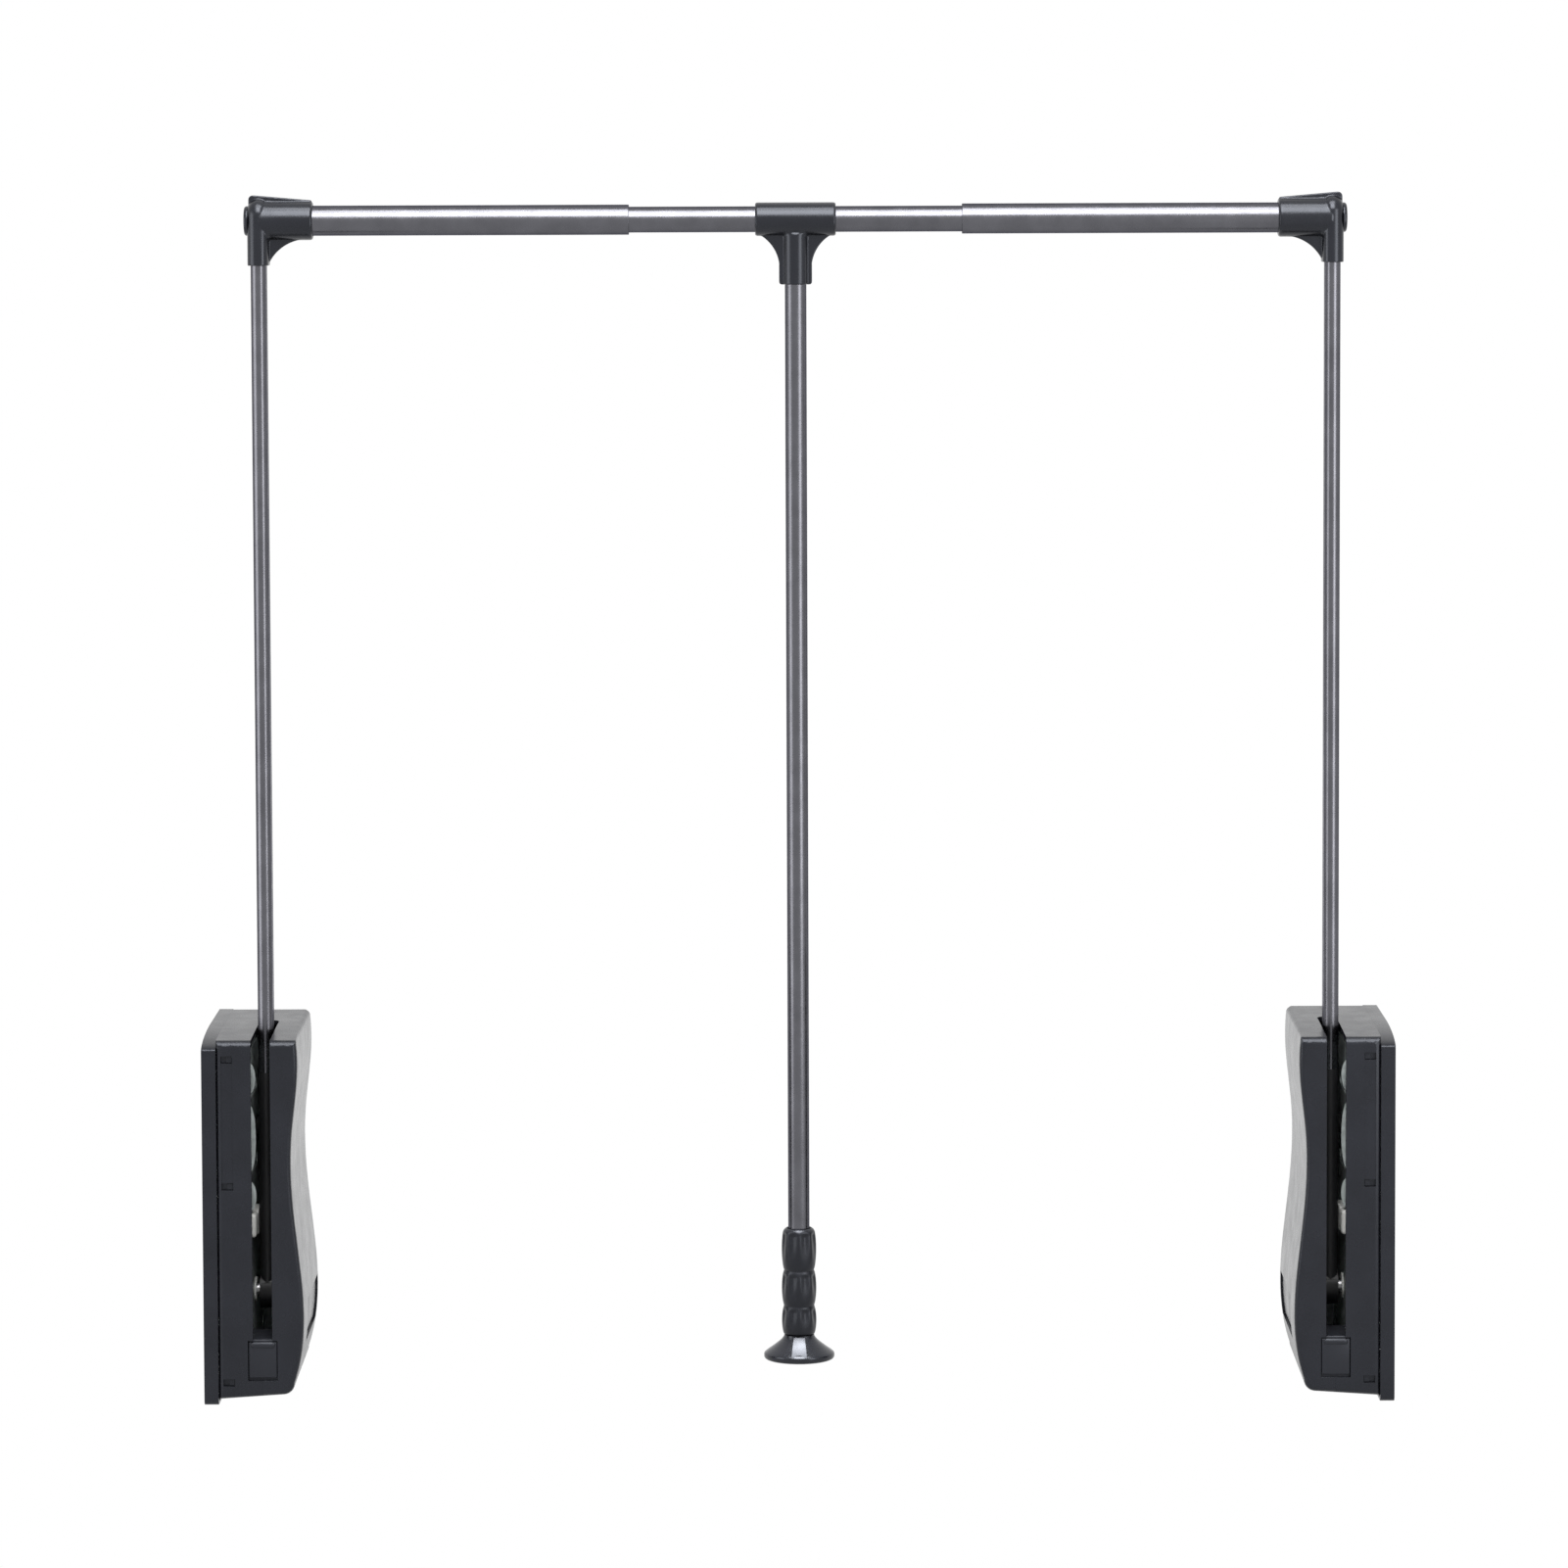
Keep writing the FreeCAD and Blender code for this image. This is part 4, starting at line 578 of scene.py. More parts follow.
FILLET_PASSES = 18
MOULD_VOXEL = 0.00042
MOULD_PASSES = 10
ROUND_FACETS = 96

connector_black = finish("connector_black", lighter(CONNECTOR_BLACK, 0.85),
                         lighter(CONNECTOR_BLACK, 1.2), rough=(0.22, 0.28), grain=2000.0,
                         relief=0.006, ior=CONNECTOR_IOR, gleam=BLACK_GLEAM)


def bar_x(name, x0, x1, y, z, radius, facets=ROUND_FACETS):
    """A round bar along X, under its name."""
    deselect()
    bpy.ops.mesh.primitive_cylinder_add(
        vertices=facets, radius=radius, depth=x1 - x0, rotation=(0, math.pi / 2, 0),
        location=((x0 + x1) / 2, y, z))
    return settle(named(name))


def bar_y(name, x, y0, y1, z, radius, facets=160):
    """A round bar along Y, under its name."""
    deselect()
    bpy.ops.mesh.primitive_cylinder_add(
        vertices=facets, radius=radius, depth=y1 - y0, rotation=(math.pi / 2, 0, 0),
        location=(x, (y0 + y1) / 2, z))
    return settle(named(name))


def sink(piece, wanted, border, depth):
    """Inset the chosen end face by a border and push it in, which leaves a socket."""
    pick(piece, "FACE", wanted)
    bpy.ops.mesh.inset(thickness=border, depth=0)
    mesh = bmesh.from_edit_mesh(piece.data)
    normal = next(face.normal.copy() for face in mesh.faces if face.select)
    bpy.ops.mesh.extrude_region_move(TRANSFORM_OT_translate={"value": -depth * normal})
    deselect()


def moulded_union(name, *pieces):
    """Closed forms merged into one moulding, its edges and corners slightly softened."""
    body = joined(name, *pieces)
    apply_modifier(body, "REMESH", mode="VOXEL", voxel_size=MOULD_VOXEL, adaptivity=0.0)
    apply_modifier(body, "SMOOTH", factor=0.5, iterations=MOULD_PASSES)
    body.data.shade_smooth()
    return body


def fillet(piece, wanted):
    """Soften an inside corner of a moulding into a fillet."""
    pick(piece, "VERT", wanted)
    bpy.ops.mesh.vertices_smooth(factor=0.5, repeat=FILLET_PASSES)
    deselect()


def subtract(piece, cutter, solver="FAST"):
    """Cut one form out of another and drop the cutter."""
    apply_modifier(piece, "BOOLEAN", operation="DIFFERENCE", solver=solver, object=cutter)
    bpy.data.objects.remove(cutter, do_unlink=True)


def off_rail(vert):
    """How far a vertex lies from the axis of the rail."""
    return (vert.co.yz - Vector((axis_y, rail_z))).length


corner_low, corner_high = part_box("left_corner_connector")
rail_low, rail_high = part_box("left_rail_tube")
arm_low, arm_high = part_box("left_arm_tube")
axis_y = (rail_low.y + rail_high.y) / 2
rail_z = (rail_low.z + rail_high.z) / 2
rail_radius = (rail_high.z - rail_low.z) / 2
arm_x = (arm_low.x + arm_high.x) / 2
mouth = rail_z - POST_DROP
crown = rail_z + POST_RISE

post = slab("post", (corner_low.x, axis_y - POST_DEEP / 2, mouth),
            (corner_low.x + POST_WIDE, axis_y + POST_DEEP / 2, crown))
round_edges(post, POST_SHOULDER, 12, lambda edge: all(
    vert.co.z > crown - 10 * SAME_POINT for vert in edge.verts)
    and abs(edge.verts[0].co.y - edge.verts[1].co.y) < SAME_POINT)
round_edges(post, (POST_WIDE - POST_FLAT) / 2, 8, lambda edge: is_corner(edge)
            and not all(vert.co.z < mouth + 10 * SAME_POINT for vert in edge.verts))
sink(post, lambda face: face.normal.z < -0.9
     and face.calc_center_median().z < mouth + 10 * SAME_POINT,
     (POST_WIDE - (arm_high.x - arm_low.x)) / 2, POST_DROP - ARM_END)
sleeve = bar_x("sleeve", arm_x + RIB_SHORT, corner_high.x, axis_y, rail_z, SLEEVE_OUTER / 2)
sink(sleeve, lambda face: face.normal.x > 0.9, SLEEVE_OUTER / 2 - rail_radius - FIT,
     SLEEVE_SOCKET)
round_edges(sleeve, SLEEVE_CHAMFER, 2, lambda edge: all(
    vert.co.x > corner_high.x - SAME_POINT and off_rail(vert) > SLEEVE_OUTER / 2 - 1e-4
    for vert in edge.verts))
rib = slab("rib", (corner_low.x + RIB_START, axis_y - RIB_THICK / 2, rail_z + RIB_FOOT),
           (corner_high.x - RIB_SHORT, axis_y + RIB_THICK / 2, rail_z + RIB_RISES[0]))
pick(rib, "EDGE", lambda edge: all(
    vert.co.z > rail_z + RIB_FOOT + RIB_SHORT and vert.co.x > arm_x for vert in edge.verts))
bpy.ops.transform.translate(value=(0, 0, RIB_RISES[1] - RIB_RISES[0]))
round_edges(rib, RIB_ROUND, 6, lambda edge: all(
    vert.co.z > rail_z + RIB_FOOT + RIB_SHORT and vert.co.x < arm_x for vert in edge.verts))
web = slab("web", (arm_x + WEB_START, axis_y - WEB_THICK / 2, mouth + WEB_FOOT),
           (corner_high.x - RIB_SHORT, axis_y + WEB_THICK / 2, rail_z - RIB_FOOT))
subtract(web, bar_y("hollow", corner_low.x + WEB_CENTRE[0], axis_y - 1.5 * WEB_THICK,
                    axis_y + 1.5 * WEB_THICK, mouth + WEB_CENTRE[1], WEB_ARC))
tidy_mesh(web)
elbow = moulded_union("left_corner_elbow", post, sleeve, rib, web)
fillet(elbow, lambda vert: abs(vert.co.x - corner_low.x - POST_WIDE) < FILLET_REACH
       and abs(off_rail(vert) - SLEEVE_OUTER / 2) < FILLET_REACH)
for side, piece in both_sides(elbow):
    piece.data.shade_smooth()
    seat(piece, side + "_arm", connector_black, "connector_plastic",
         side + "_corner_connector")


# ==== Corner caps =====================================================================
# A round moulded cap with a domed rim and a sunk middle closes the outer face of each
# elbow.
CAP_PROUD = 0.0024
CAP_BEDDED = 0.0003
CAP_DOME = 0.0018
CAP_RECESS = 0.0012
CAP_LAND = 0.0004                              # flat ring round the screw's head

cap_low, cap_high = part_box("left_corner_cap")
screw_low, screw_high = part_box("left_corner_screw")
cap_face = cap_high.x - CAP_PROUD
cap_radius = (cap_high.z - cap_low.z) / 2
cap = bar_x("left_end_cap", cap_face, cap_high.x + CAP_BEDDED, axis_y, rail_z, cap_radius)
round_edges(cap, CAP_DOME, 6, lambda edge: all(
    vert.co.x < cap_face + SAME_POINT for vert in edge.verts))
sink(cap, lambda face: face.normal.x < -0.9 and len(face.verts) > ROUND_FACETS / 2,
     cap_radius - CAP_DOME - (screw_high.z - screw_low.z) / 2 - CAP_LAND, CAP_RECESS)
for side, piece in both_sides(cap):
    smooth_by_angle(piece)
    seat(piece, side + "_arm", connector_black, "connector_plastic", side + "_corner_cap")


# ==== Cap screws ======================================================================
# A bright pan-head screw with a cross recess goes through each cap into the elbow.
HEAD_THICK = 0.0013
HEAD_ROUND = 0.45                              # rounding of the head, as a share of it
HEAD_FACETS = 48
SHANK_FACETS = 32
SHANK_ROUND = 0.0004
HEAD_SUNK = 0.0003                             # head below the face of the cap
CROSS_WIDE = 0.0012
CROSS_LONG = 0.0046
CROSS_DEEP = 0.0009


def cross_screw(name, node, axis, facing, start):
    """A pan head with a cross recess, and the shank that the CAD piece has."""
    low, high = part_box(node)
    centre = (low + high) / 2
    radius = (high.z - low.z) / 2
    reach = abs((high if facing < 0 else low)[axis] - start)
    tip = start - facing * reach
    turn = (0, math.pi / 2, 0) if axis == 0 else (math.pi / 2, 0, 0)
    across = (1, 2) if axis == 0 else (0, 2)

    def round_bar(part, level, depth, size, facets):
        place = centre.copy()
        place[axis] = level
        deselect()
        bpy.ops.mesh.primitive_cylinder_add(vertices=facets, radius=size, depth=depth,
                                            location=place, rotation=turn)
        return settle(named(part))

    head = round_bar("head", start - facing * HEAD_THICK / 2, HEAD_THICK, radius, HEAD_FACETS)
    round_edges(head, HEAD_THICK * HEAD_ROUND, 4, lambda edge: all(
        abs(vert.co[axis] - start) < SAME_POINT for vert in edge.verts))
    for direction in across:
        size = [CROSS_WIDE] * 3
        size[axis] = 2 * CROSS_DEEP
        size[direction] = CROSS_LONG
        place = centre.copy()
        place[axis] = start
        deselect()
        bpy.ops.mesh.primitive_cube_add(size=1, location=place, scale=size)
        subtract(head, settle(named("cross_arm")))
    shank = round_bar("shank", start - facing * (reach + HEAD_THICK) / 2,
                      reach - HEAD_THICK, radius / 2, SHANK_FACETS)
    round_edges(shank, SHANK_ROUND, 2, lambda edge: all(
        abs(vert.co[axis] - tip) < SAME_POINT for vert in edge.verts))
    screw = joined(name, head, shank)
    smooth_by_angle(screw)
    return screw


for side, piece in both_sides(cross_screw("left_cap_screw", "left_corner_screw", 0, -1,
                                          cap_face + HEAD_SUNK)):
    smooth_by_angle(piece)
    seat(piece, side + "_arm", bright_steel, "bright_steel", side + "_corner_screw")


# ==== Tee =============================================================================
# The same glossy nylon: a sleeve that turns on the inner rail tube, a stem that takes
# the pull rod, and two hollow-edged gussets between them. The ends of the sleeve are
# hollow, so the rail tubes can enter them when the rail is pushed in.
TEE_LONG = 0.0564
TEE_SLEEVE = 0.0234
TEE_ROUND = 0.0016
TEE_STEM = 0.0176
TEE_STEM_ROUND = 0.0006
TEE_STEM_TOP = 0.0006                          # stem and web stop this far below the bore
TEE_WEB = 0.006
TEE_WEB_WIDE = 0.0230
TEE_WEB_ROUND = 0.0018
TEE_ARC = 0.0272                               # hollow edge of the gussets
TEE_ARC_DROP = 0.0345                          # rail axis to the middle of that arc
TEE_ARC_OVERLAP = 0.0003
GUSSET_START = 0.002                           # from the middle, and above the arc's middle
GUSSET_BEDDED = 0.003                          # how far it goes up into the sleeve
TEE_FILLET = (-0.003, 0.004)                   # levels about the underside of the sleeve
TEE_MOUTH = 0.0001                             # play of the rail tubes in the hollow ends
CUT_PAST = 0.005                               # cutters run this far past the piece
TEE_CRISP = 40

tee_low, tee_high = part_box("tee_connector")
inner_low, inner_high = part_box("inner_rail_tube")
rod_low, rod_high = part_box("pull_rod_tube")
rod_radius = (rod_high.x - rod_low.x) / 2
bore = (inner_high.z - inner_low.z) / 2 + FIT
tee_ends = (MIDDLE - TEE_LONG / 2, MIDDLE + TEE_LONG / 2)
tee_under = rail_z - TEE_SLEEVE / 2
stem_top = rail_z - bore - TEE_STEM_TOP


def bar_z(name, x, y, z0, z1, radius, facets=ROUND_FACETS):
    """A round bar along Z, under its name."""
    deselect()
    bpy.ops.mesh.primitive_cylinder_add(vertices=facets, radius=radius, depth=z1 - z0,
                                        location=(x, y, (z0 + z1) / 2))
    return settle(named(name))


def at_tee_foot(edge):
    """Whether an edge lies in the foot of the tee."""
    return all(vert.co.z < tee_low.z + SAME_POINT for vert in edge.verts)


sleeve = bar_x("tee_sleeve", *tee_ends, axis_y, rail_z, TEE_SLEEVE / 2)
round_edges(sleeve, TEE_ROUND, 5, lambda edge: any(
    all(abs(vert.co.x - end) < SAME_POINT for vert in edge.verts) for end in tee_ends))
stem = bar_z("tee_stem", MIDDLE, axis_y, tee_low.z, stem_top, TEE_STEM / 2)
round_edges(stem, TEE_STEM_ROUND, 2, at_tee_foot)
ridge = slab("tee_ridge", (MIDDLE - TEE_WEB_WIDE / 2, axis_y - TEE_WEB / 2, tee_low.z),
             (MIDDLE + TEE_WEB_WIDE / 2, axis_y + TEE_WEB / 2, stem_top))
round_edges(ridge, TEE_WEB_ROUND, 3, lambda edge: at_tee_foot(edge)
            and abs(edge.verts[0].co.x - edge.verts[1].co.x) < SAME_POINT)
gussets = []
for way in (-1, 1):
    ends = sorted((MIDDLE + way * GUSSET_START, MIDDLE + way * (TEE_LONG / 2 - TEE_ROUND)))
    gusset = slab("tee_gusset",
                  (ends[0], axis_y - TEE_WEB / 2, rail_z - TEE_ARC_DROP + GUSSET_START),
                  (ends[1], axis_y + TEE_WEB / 2, tee_under + GUSSET_BEDDED))
    arc_x = MIDDLE + way * (TEE_WEB_WIDE / 2 + TEE_ARC - TEE_ARC_OVERLAP)
    subtract(gusset, bar_y("hollow", arc_x, axis_y - 1.5 * TEE_WEB, axis_y + 1.5 * TEE_WEB,
                           rail_z - TEE_ARC_DROP, TEE_ARC))
    tidy_mesh(gusset)
    gussets.append(gusset)
tee = moulded_union("tee_moulding", sleeve, stem, ridge, *gussets)
fillet(tee, lambda vert: TEE_FILLET[0] < vert.co.z - tee_under < TEE_FILLET[1]
       and abs(vert.co.x - MIDDLE) < TEE_WEB_WIDE / 2 + GUSSET_START)
cutter = bar_x("rail_bore", tee_low.x + TEE_MOUTH, tee_high.x - TEE_MOUTH, axis_y, rail_z,
               bore)
widened = (rail_radius + TEE_MOUTH) / bore
for way in (-1, 1):
    pick(cutter, "FACE", lambda face: way * face.normal.x > 0.9
         and len(face.verts) > ROUND_FACETS / 2)
    bpy.ops.mesh.extrude_region_move(TRANSFORM_OT_translate={"value": (0, 0, 0)})
    bpy.ops.transform.resize(value=(1, widened, widened),
                             center_override=(MIDDLE, axis_y, rail_z))
    run_out = way * (TEE_LONG / 2 + CUT_PAST - (tee_high.x - MIDDLE))
    bpy.ops.mesh.extrude_region_move(TRANSFORM_OT_translate={"value": (run_out, 0, 0)})
tidy_mesh(cutter)
subtract(tee, cutter, "EXACT")
subtract(tee, bar_z("rod_bore", MIDDLE, axis_y, tee_low.z - CUT_PAST, rod_high.z,
                    rod_radius + FIT))
smooth_by_angle(tee, TEE_CRISP)
seat(tee, "pull_rod", connector_black, "connector_plastic", "tee_connector")


# ==== Tee screw =======================================================================
# A bright pan-head screw at the back of the stem holds the pull rod in the tee.
tee_screw = cross_screw("tee_back_screw", "tee_screw", 1, 1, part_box("tee_screw")[1].y)
seat(tee_screw, "pull_rod", bright_steel, "bright_steel", "tee_screw")


# ==== Grip ============================================================================
# Soft-touch black moulding pushed on to the pull rod: three bulges with shallow flutes
# all round, which start sharply below each neck and run out.
GRIP_BLACK = (0.0040, 0.0042, 0.0058)
GRIP_SEGMENTS = (0.0300, 0.0253, 0.0207)       # lengths of the bulges, from the top
GRIP_NECK = 0.0104
GRIP_BULGE = 0.0122
BULGE_FULL = 0.55                              # power of the arc: lower is fuller
GRIP_TOP_ROUND = 0.0026
GRIP_TOP_SHARE = 0.6
FLUTES = 8
FLUTE_DEEP = 0.0013
FLUTE_START = (0.07, 0.17)                     # shares of the bulge's length
FLUTE_END = (0.25, 0.92)
FLUTE_LEAST = 1e-4                             # shallower cuts are left out
GRIP_RINGS = 76
GRIP_COLUMNS = 96
GRIP_BORE = 0.0500
GRIP_SLACK = 0.0001
GRIP_CRISP = 50
RING_REACH = 1e-5                              # a ring's points are within this of its level

grip_black = finish("grip_black", lighter(GRIP_BLACK, 0.85), lighter(GRIP_BLACK, 1.15),
                    rough=(0.30, 0.38), grain=1700.0, relief=0.04, ior=BLACK_IOR,
                    gleam=BLACK_GLEAM)


def bulge_at(depth):
    """How far down its own bulge a depth below the top of the grip lies, from 0 to 1."""
    for length in GRIP_SEGMENTS:
        if depth <= length + 1e-9:
            break
        depth -= length
    return min(max(depth / length, 0), 1)


def ease(value, start, end):
    """A soft step from 0 to 1 between two values."""
    share = min(max((value - start) / (end - start), 0), 1)
    return share * share * (3 - 2 * share)


def grip_radius(depth):
    """Radius of the grip at a depth below its top: arcs over the bulges, a rounded top."""
    swell = math.sin(math.pi * bulge_at(depth)) ** BULGE_FULL
    radius = GRIP_NECK + (GRIP_BULGE - GRIP_NECK) * swell
    if depth < GRIP_TOP_ROUND:
        share = depth / GRIP_TOP_ROUND
        radius = GRIP_NECK + (radius - GRIP_NECK) * share
        radius -= GRIP_TOP_ROUND * (1 - math.sqrt(1 - (1 - share) ** 2)) * GRIP_TOP_SHARE
    return radius


def flute_depth(depth):
    """How deep the flutes are at a depth below the top."""
    share = bulge_at(depth)
    return FLUTE_DEEP * ease(share, *FLUTE_START) * (1 - ease(share, *FLUTE_END))


def turned(name, low, high, rings, columns, radius_at):
    """A form round the pull rod, shaped ring by ring."""
    start = radius_at((high - low) / 2)
    piece = bar_z(name, MIDDLE, axis_y, low, high, start, columns)
    pick(piece, "EDGE", lambda edge: abs(edge.verts[0].co.z - edge.verts[1].co.z)
         > (high - low) / 2)
    bpy.ops.mesh.subdivide(number_cuts=rings - 1)
    for ring in range(rings + 1):
        depth = (high - low) * ring / rings
        size = radius_at(depth) / start
        pick(piece, "VERT", lambda vert: abs(vert.co.z - high + depth) < RING_REACH)
        bpy.ops.transform.resize(value=(size, size, 1),
                                 center_override=(MIDDLE, axis_y, high - depth))
    deselect()
    return piece


grip_low, grip_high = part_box("grip")
grip = turned("pull_grip", grip_low.z, grip_high.z, GRIP_RINGS, GRIP_COLUMNS, grip_radius)
spacing = GRIP_COLUMNS // FLUTES
column = {}                                    # columns from each vertex to the nearest flute
for vert in grip.data.vertices:
    share = math.atan2(vert.co.y - axis_y, vert.co.x - MIDDLE) / (2 * math.pi)
    place = (round(share * GRIP_COLUMNS) + spacing // 2) % spacing
    column[vert.index] = min(place, spacing - place)
for ring in range(GRIP_RINGS + 1):
    depth = (grip_high.z - grip_low.z) * ring / GRIP_RINGS
    for step in range(spacing // 2):
        swell = 0.5 + 0.5 * math.cos(2 * math.pi * step / spacing)
        cut = flute_depth(depth) / grip_radius(depth) * swell
        if cut > FLUTE_LEAST:
            pick(grip, "VERT", lambda vert: abs(vert.co.z - grip_high.z + depth) < RING_REACH
                 and column[vert.index] == step)
            bpy.ops.transform.resize(value=(1 - cut, 1 - cut, 1),
                                     center_override=(MIDDLE, axis_y, grip_high.z - depth))
sink(grip, lambda face: face.normal.z > 0.9 and len(face.verts) > GRIP_COLUMNS / 2,
     grip_radius(0) - rod_radius - GRIP_SLACK, GRIP_BORE)
apply_modifier(grip, "SUBSURF", levels=1, render_levels=1)
smooth_by_angle(grip, GRIP_CRISP)
seat(grip, "pull_rod", grip_black, "grip_rubber", "grip")


# ==== Foot of the grip ================================================================
# Glossy black moulding below the grip, flared so that the hand can't slip off. A flat
# tongue runs down its front, and its underside is slightly hollow.
FOOT_PROFILE = ((0.0, 10.6), (1.0, 10.8), (2.2, 11.5), (3.6, 12.7), (5.2, 14.5),
                (7.0, 16.8), (8.8, 19.2), (10.4, 21.5), (11.8, 23.4), (12.8, 24.5),
                (13.6, 24.85), (15.2, 24.85), (16.2, 24.5), (16.9, 23.8), (17.2, 22.9))
MM = 0.001                                     # that profile is depth and radius in mm
FOOT_COLUMNS = 128
FOOT_RINGS = 86
FOOT_RIM = 0.0022
FOOT_HOLLOW = 0.0030
TONGUE_WIDE = (0.0088, 0.0122)                 # at its top and bottom
TONGUE_DROP = 0.0132
TONGUE_TOP = 0.0004                            # below the top of the foot
TONGUE_ROOT = 0.007                            # its rear face, from the axis
TONGUE_SUNK = 0.0003                           # its top edge, behind the foot's surface
TONGUE_HEEL = (-0.009, 0.0005)                 # how its lower rear edge moves out and up
TONGUE_ROUND = 0.0006


def foot_radius(depth):
    """Radius of the foot at a depth below its top."""
    for (start, near), (end, far) in zip(FOOT_PROFILE, FOOT_PROFILE[1:]):
        if depth / MM <= end + SAME_POINT:
            return (near + (far - near) * (depth / MM - start) / (end - start)) * MM
    return FOOT_PROFILE[-1][1] * MM


foot_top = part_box("grip_foot")[1].z
foot = turned("grip_flare", foot_top - FOOT_PROFILE[-1][0] * MM, foot_top, FOOT_RINGS,
              FOOT_COLUMNS, foot_radius)
sink(foot, lambda face: face.normal.z < -0.9 and len(face.verts) > FOOT_COLUMNS / 2,
     FOOT_RIM, FOOT_HOLLOW)
tongue_front = foot_radius(TONGUE_DROP)
tongue = slab("tongue",
              (MIDDLE - TONGUE_WIDE[1] / 2, axis_y - tongue_front, foot_top - TONGUE_DROP),
              (MIDDLE + TONGUE_WIDE[1] / 2, axis_y - TONGUE_ROOT, foot_top - TONGUE_TOP))
tongue_middle = foot_top - TONGUE_DROP / 2
pick(tongue, "VERT", lambda vert: vert.co.z > tongue_middle)
bpy.ops.transform.resize(value=(TONGUE_WIDE[0] / TONGUE_WIDE[1], 1, 1),
                         center_override=(MIDDLE, axis_y, foot_top))
pick(tongue, "VERT", lambda vert: vert.co.z > tongue_middle
     and vert.co.y < axis_y - tongue_front / 2)
bpy.ops.transform.translate(value=(0, tongue_front - foot_radius(0) - TONGUE_SUNK, 0))
pick(tongue, "VERT", lambda vert: vert.co.z < tongue_middle
     and vert.co.y > axis_y - tongue_front / 2)
bpy.ops.transform.translate(value=(0, *TONGUE_HEEL))
round_edges(tongue, TONGUE_ROUND, 3, lambda edge: sum(
    face.normal.y < -0.3 and face.normal.z > 0.3 for face in edge.link_faces) == 1)
foot = joined("grip_flare", foot, tongue)
smooth_by_angle(foot, TEE_CRISP)
seat(foot, "pull_rod", connector_black, "grip_rubber", "grip_foot")


# ==== Floor and backdrop ==============================================================
# Plain studio: a wide white floor well below the lift, and white all round it.
FLOOR_DROP = 0.42                              # floor below the foot of the housings
FLOOR_SIZE = 16.0
FLOOR_GREY = (0.8, 0.8, 0.8, 1)
FLOOR_ROUGH = 0.9
SHADOW_FAINT = 0.90                            # share of plain white in the floor's look
FLOOR_FADE = (0.8, 1.3)                        # distances over which the shadow fades out
WHITE = (1, 1, 1, 1)
AMBIENT = 0.12

deselect()
bpy.ops.mesh.primitive_plane_add(size=FLOOR_SIZE,
                                 location=(MIDDLE, 0, cad_low.z - FLOOR_DROP))
floor = settle(named("floor"))


def seen_directly(owner):
    """1 for camera, glossy and transmission rays, 0 for the rest."""
    path = shader(owner, "ShaderNodeLightPath")
    first = shader(owner, "ShaderNodeMath")
    second = shader(owner, "ShaderNodeMath")
    first.operation = "MAXIMUM"
    second.operation = "MAXIMUM"
    wire(owner, path, "Is Camera Ray", first, 0)
    wire(owner, path, "Is Glossy Ray", first, 1)
    wire(owner, first, 0, second, 0)
    wire(owner, path, "Is Transmission Ray", second, 1)
    return second


white_floor = bpy.data.materials.new("white_floor")
white_floor.use_nodes = True
matt = white_floor.node_tree.nodes["Principled BSDF"]
matt.inputs["Base Color"].default_value = FLOOR_GREY
matt.inputs["Roughness"].default_value = FLOOR_ROUGH
place = shader(white_floor, "ShaderNodeTexCoord")
centre = shader(white_floor, "ShaderNodeMapping",
                Location=(-MIDDLE, 0, FLOOR_DROP - cad_low.z))
away = shader(white_floor, "ShaderNodeVectorMath")
away.operation = "LENGTH"
fade = shader(white_floor, "ShaderNodeMapRange", From_Min=FLOOR_FADE[0],
              From_Max=FLOOR_FADE[1], To_Min=SHADOW_FAINT, To_Max=1.0)
glow = shader(white_floor, "ShaderNodeEmission")
faint = shader(white_floor, "ShaderNodeMixShader")
direct = shader(white_floor, "ShaderNodeMixShader")
wire(white_floor, place, "Object", centre, "Vector")
wire(white_floor, centre, "Vector", away, 0)
wire(white_floor, away, "Value", fade, "Value")
wire(white_floor, fade, "Result", faint, 0)
wire(white_floor, matt, 0, faint, 1)
wire(white_floor, glow, 0, faint, 2)
wire(white_floor, seen_directly(white_floor), 0, direct, 0)
wire(white_floor, matt, 0, direct, 1)
wire(white_floor, faint, 0, direct, 2)
wire(white_floor, direct, 0, white_floor.node_tree.nodes["Material Output"], "Surface")
wear(floor, white_floor)

world = bpy.data.worlds.new("studio")
bpy.context.scene.world = world
world.use_nodes = True
dim = world.node_tree.nodes["Background"]
dim.inputs["Color"].default_value = WHITE
dim.inputs["Strength"].default_value = AMBIENT
white = shader(world, "ShaderNodeBackground", Color=WHITE)
direct = shader(world, "ShaderNodeMixShader")
wire(world, seen_directly(world), 0, direct, 0)
wire(world, dim, 0, direct, 1)
wire(world, white, 0, direct, 2)
wire(world, direct, 0, world.node_tree.nodes["World Output"], "Surface")


# ==== Lamps ===========================================================================
# Six soft boxes: a large one above the front, one over the lift, one at each side, a
# small one with a grid close above the grip, and a dim one low at the back.
GRIP_BOX_SPREAD = math.radians(75)


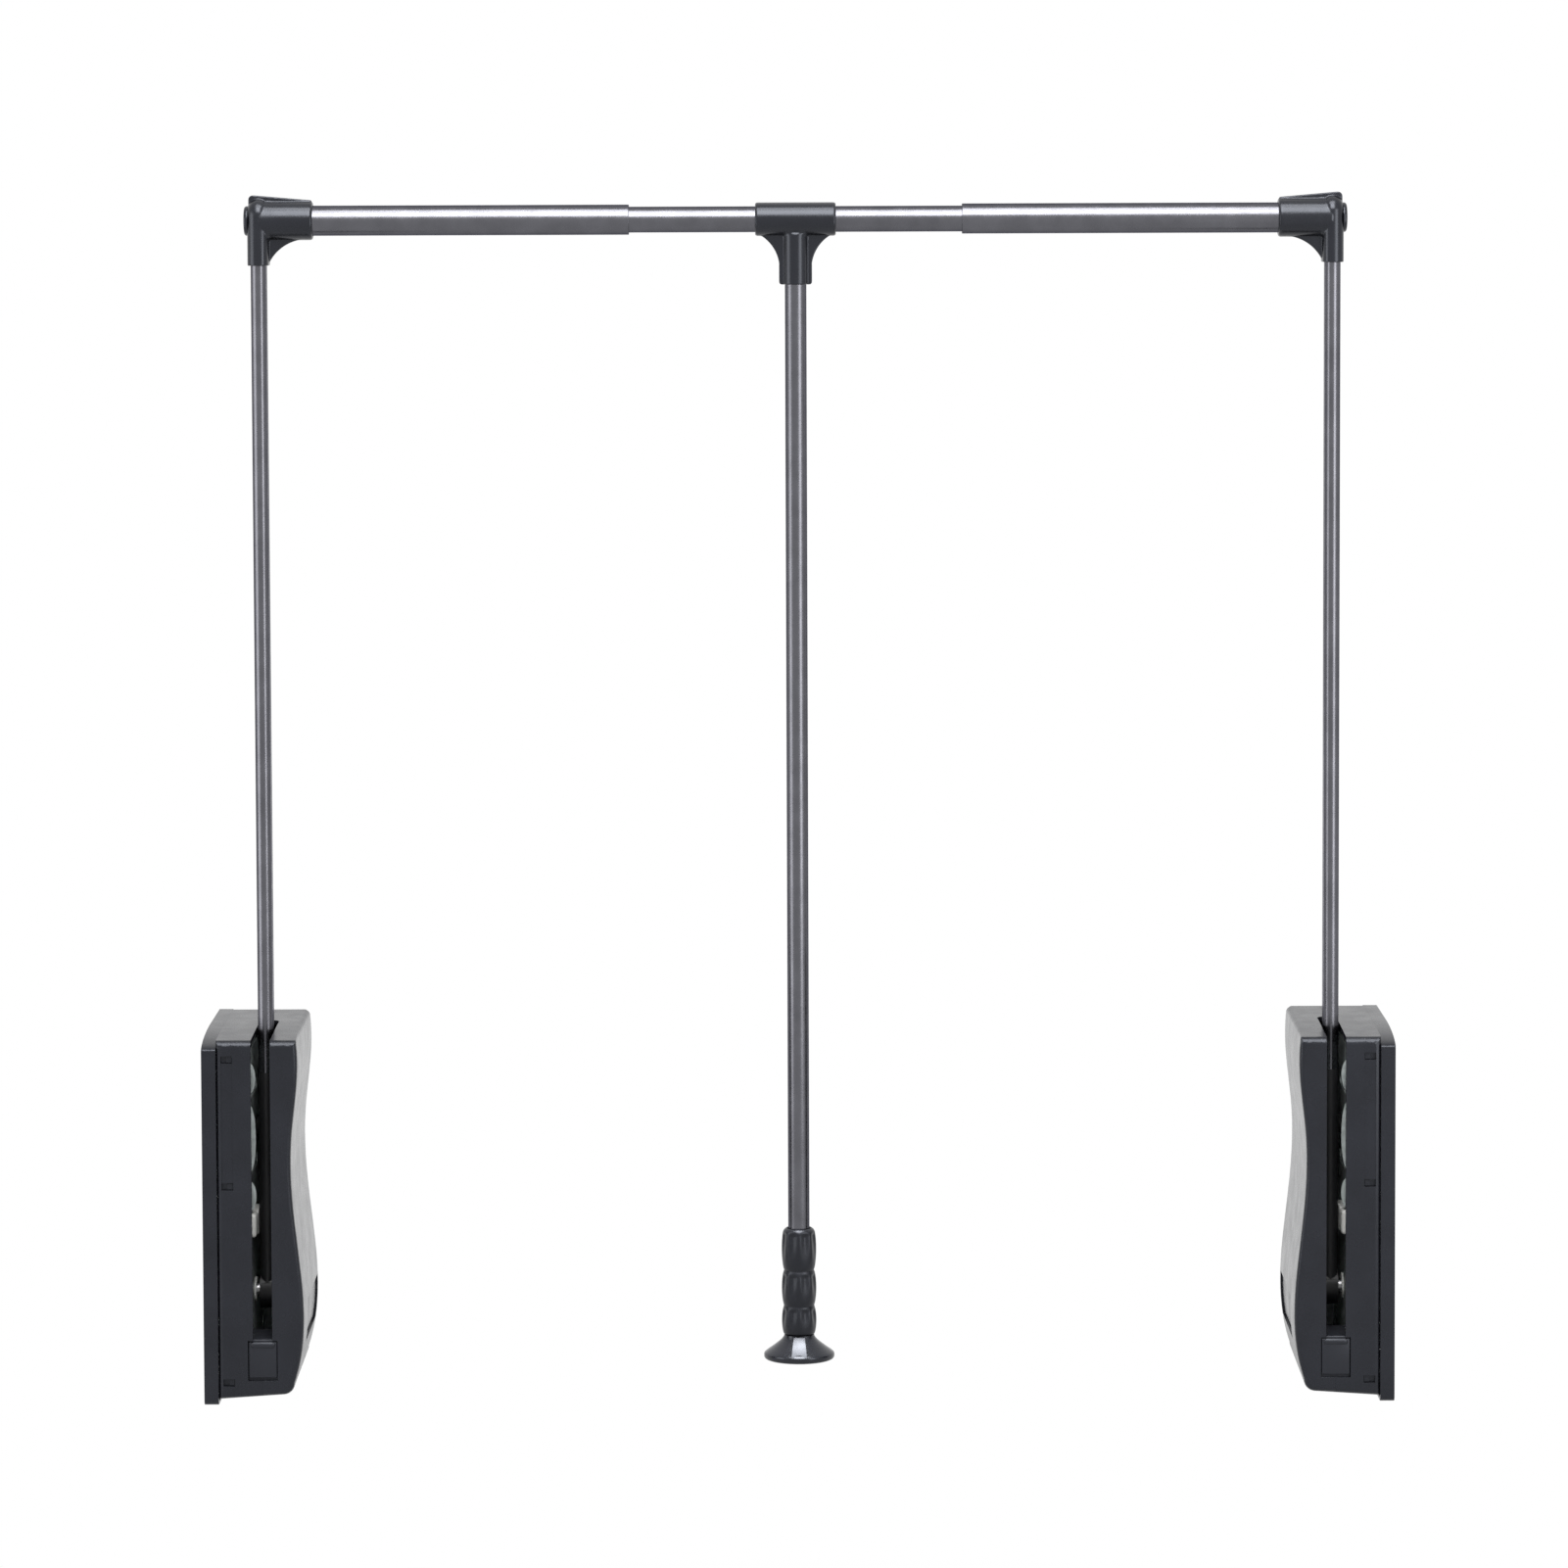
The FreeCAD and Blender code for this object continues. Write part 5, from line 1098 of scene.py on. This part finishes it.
def softbox(name, place, aim, wide, high, radiance):
    """A rectangular soft box of a given brightness."""
    deselect()
    bpy.ops.object.light_add(type="AREA", location=place)
    lamp = bpy.context.object
    lamp.name = name
    lamp.data.shape = "RECTANGLE"
    lamp.data.size = wide
    lamp.data.size_y = high
    lamp.data.energy = radiance * math.pi * wide * high
    lamp.rotation_euler = (Vector(aim) - Vector(place)).to_track_quat("-Z", "Y").to_euler()
    return lamp


softbox("over_front", (MIDDLE, -2.0, 2.93), (MIDDLE, 0, 0.695), 1.8, 1.9, 11.5)
softbox("ceiling", (MIDDLE, -0.55, 2.9), (MIDDLE, -0.05, 0.4), 1.8, 0.6, 8.0)
softbox("right_box", (MIDDLE + 0.95, -1.0, 0.55), (MIDDLE, 0, 0.45), 0.55, 1.2, 4.5)
softbox("left_box", (MIDDLE - 1.3, -0.5, 0.45), (MIDDLE, 0, 0.40), 0.7, 1.2, 2.8)
grip_box = softbox("grip_box", (MIDDLE, -0.105, 0.26), (MIDDLE, -0.075, -0.1), 0.20, 0.13,
                   4.5)
grip_box.data.spread = GRIP_BOX_SPREAD
back_low = softbox("back_low", (MIDDLE, 2.0, -0.18), (MIDDLE, 0, -0.05), 1.4, 0.66, 0.3)
back_low.visible_camera = False


# ==== Camera ==========================================================================
# A long lens in front of the lift, a little above its middle and looking slightly down.
PITCH = math.radians(4.25)
ROLL = math.radians(0.2)
CAMERA_BACK = 4.4
CAMERA_LEVEL = 0.773
SENSOR = 36
LENS = 146.25
SHIFT = (-0.0070, -0.13)

cam = bpy.data.cameras.new("camera")
view = bpy.data.objects.new("camera", cam)
bpy.context.scene.collection.objects.link(view)
bpy.context.scene.camera = view
cam.sensor_width = SENSOR
cam.lens = LENS
cam.shift_x, cam.shift_y = SHIFT
view.location = (MIDDLE, cad_low.y - CAMERA_BACK * math.cos(PITCH), CAMERA_LEVEL)
view.rotation_euler = (math.radians(90) - PITCH, ROLL, 0)
bpy.context.scene.view_settings.view_transform = "Standard"
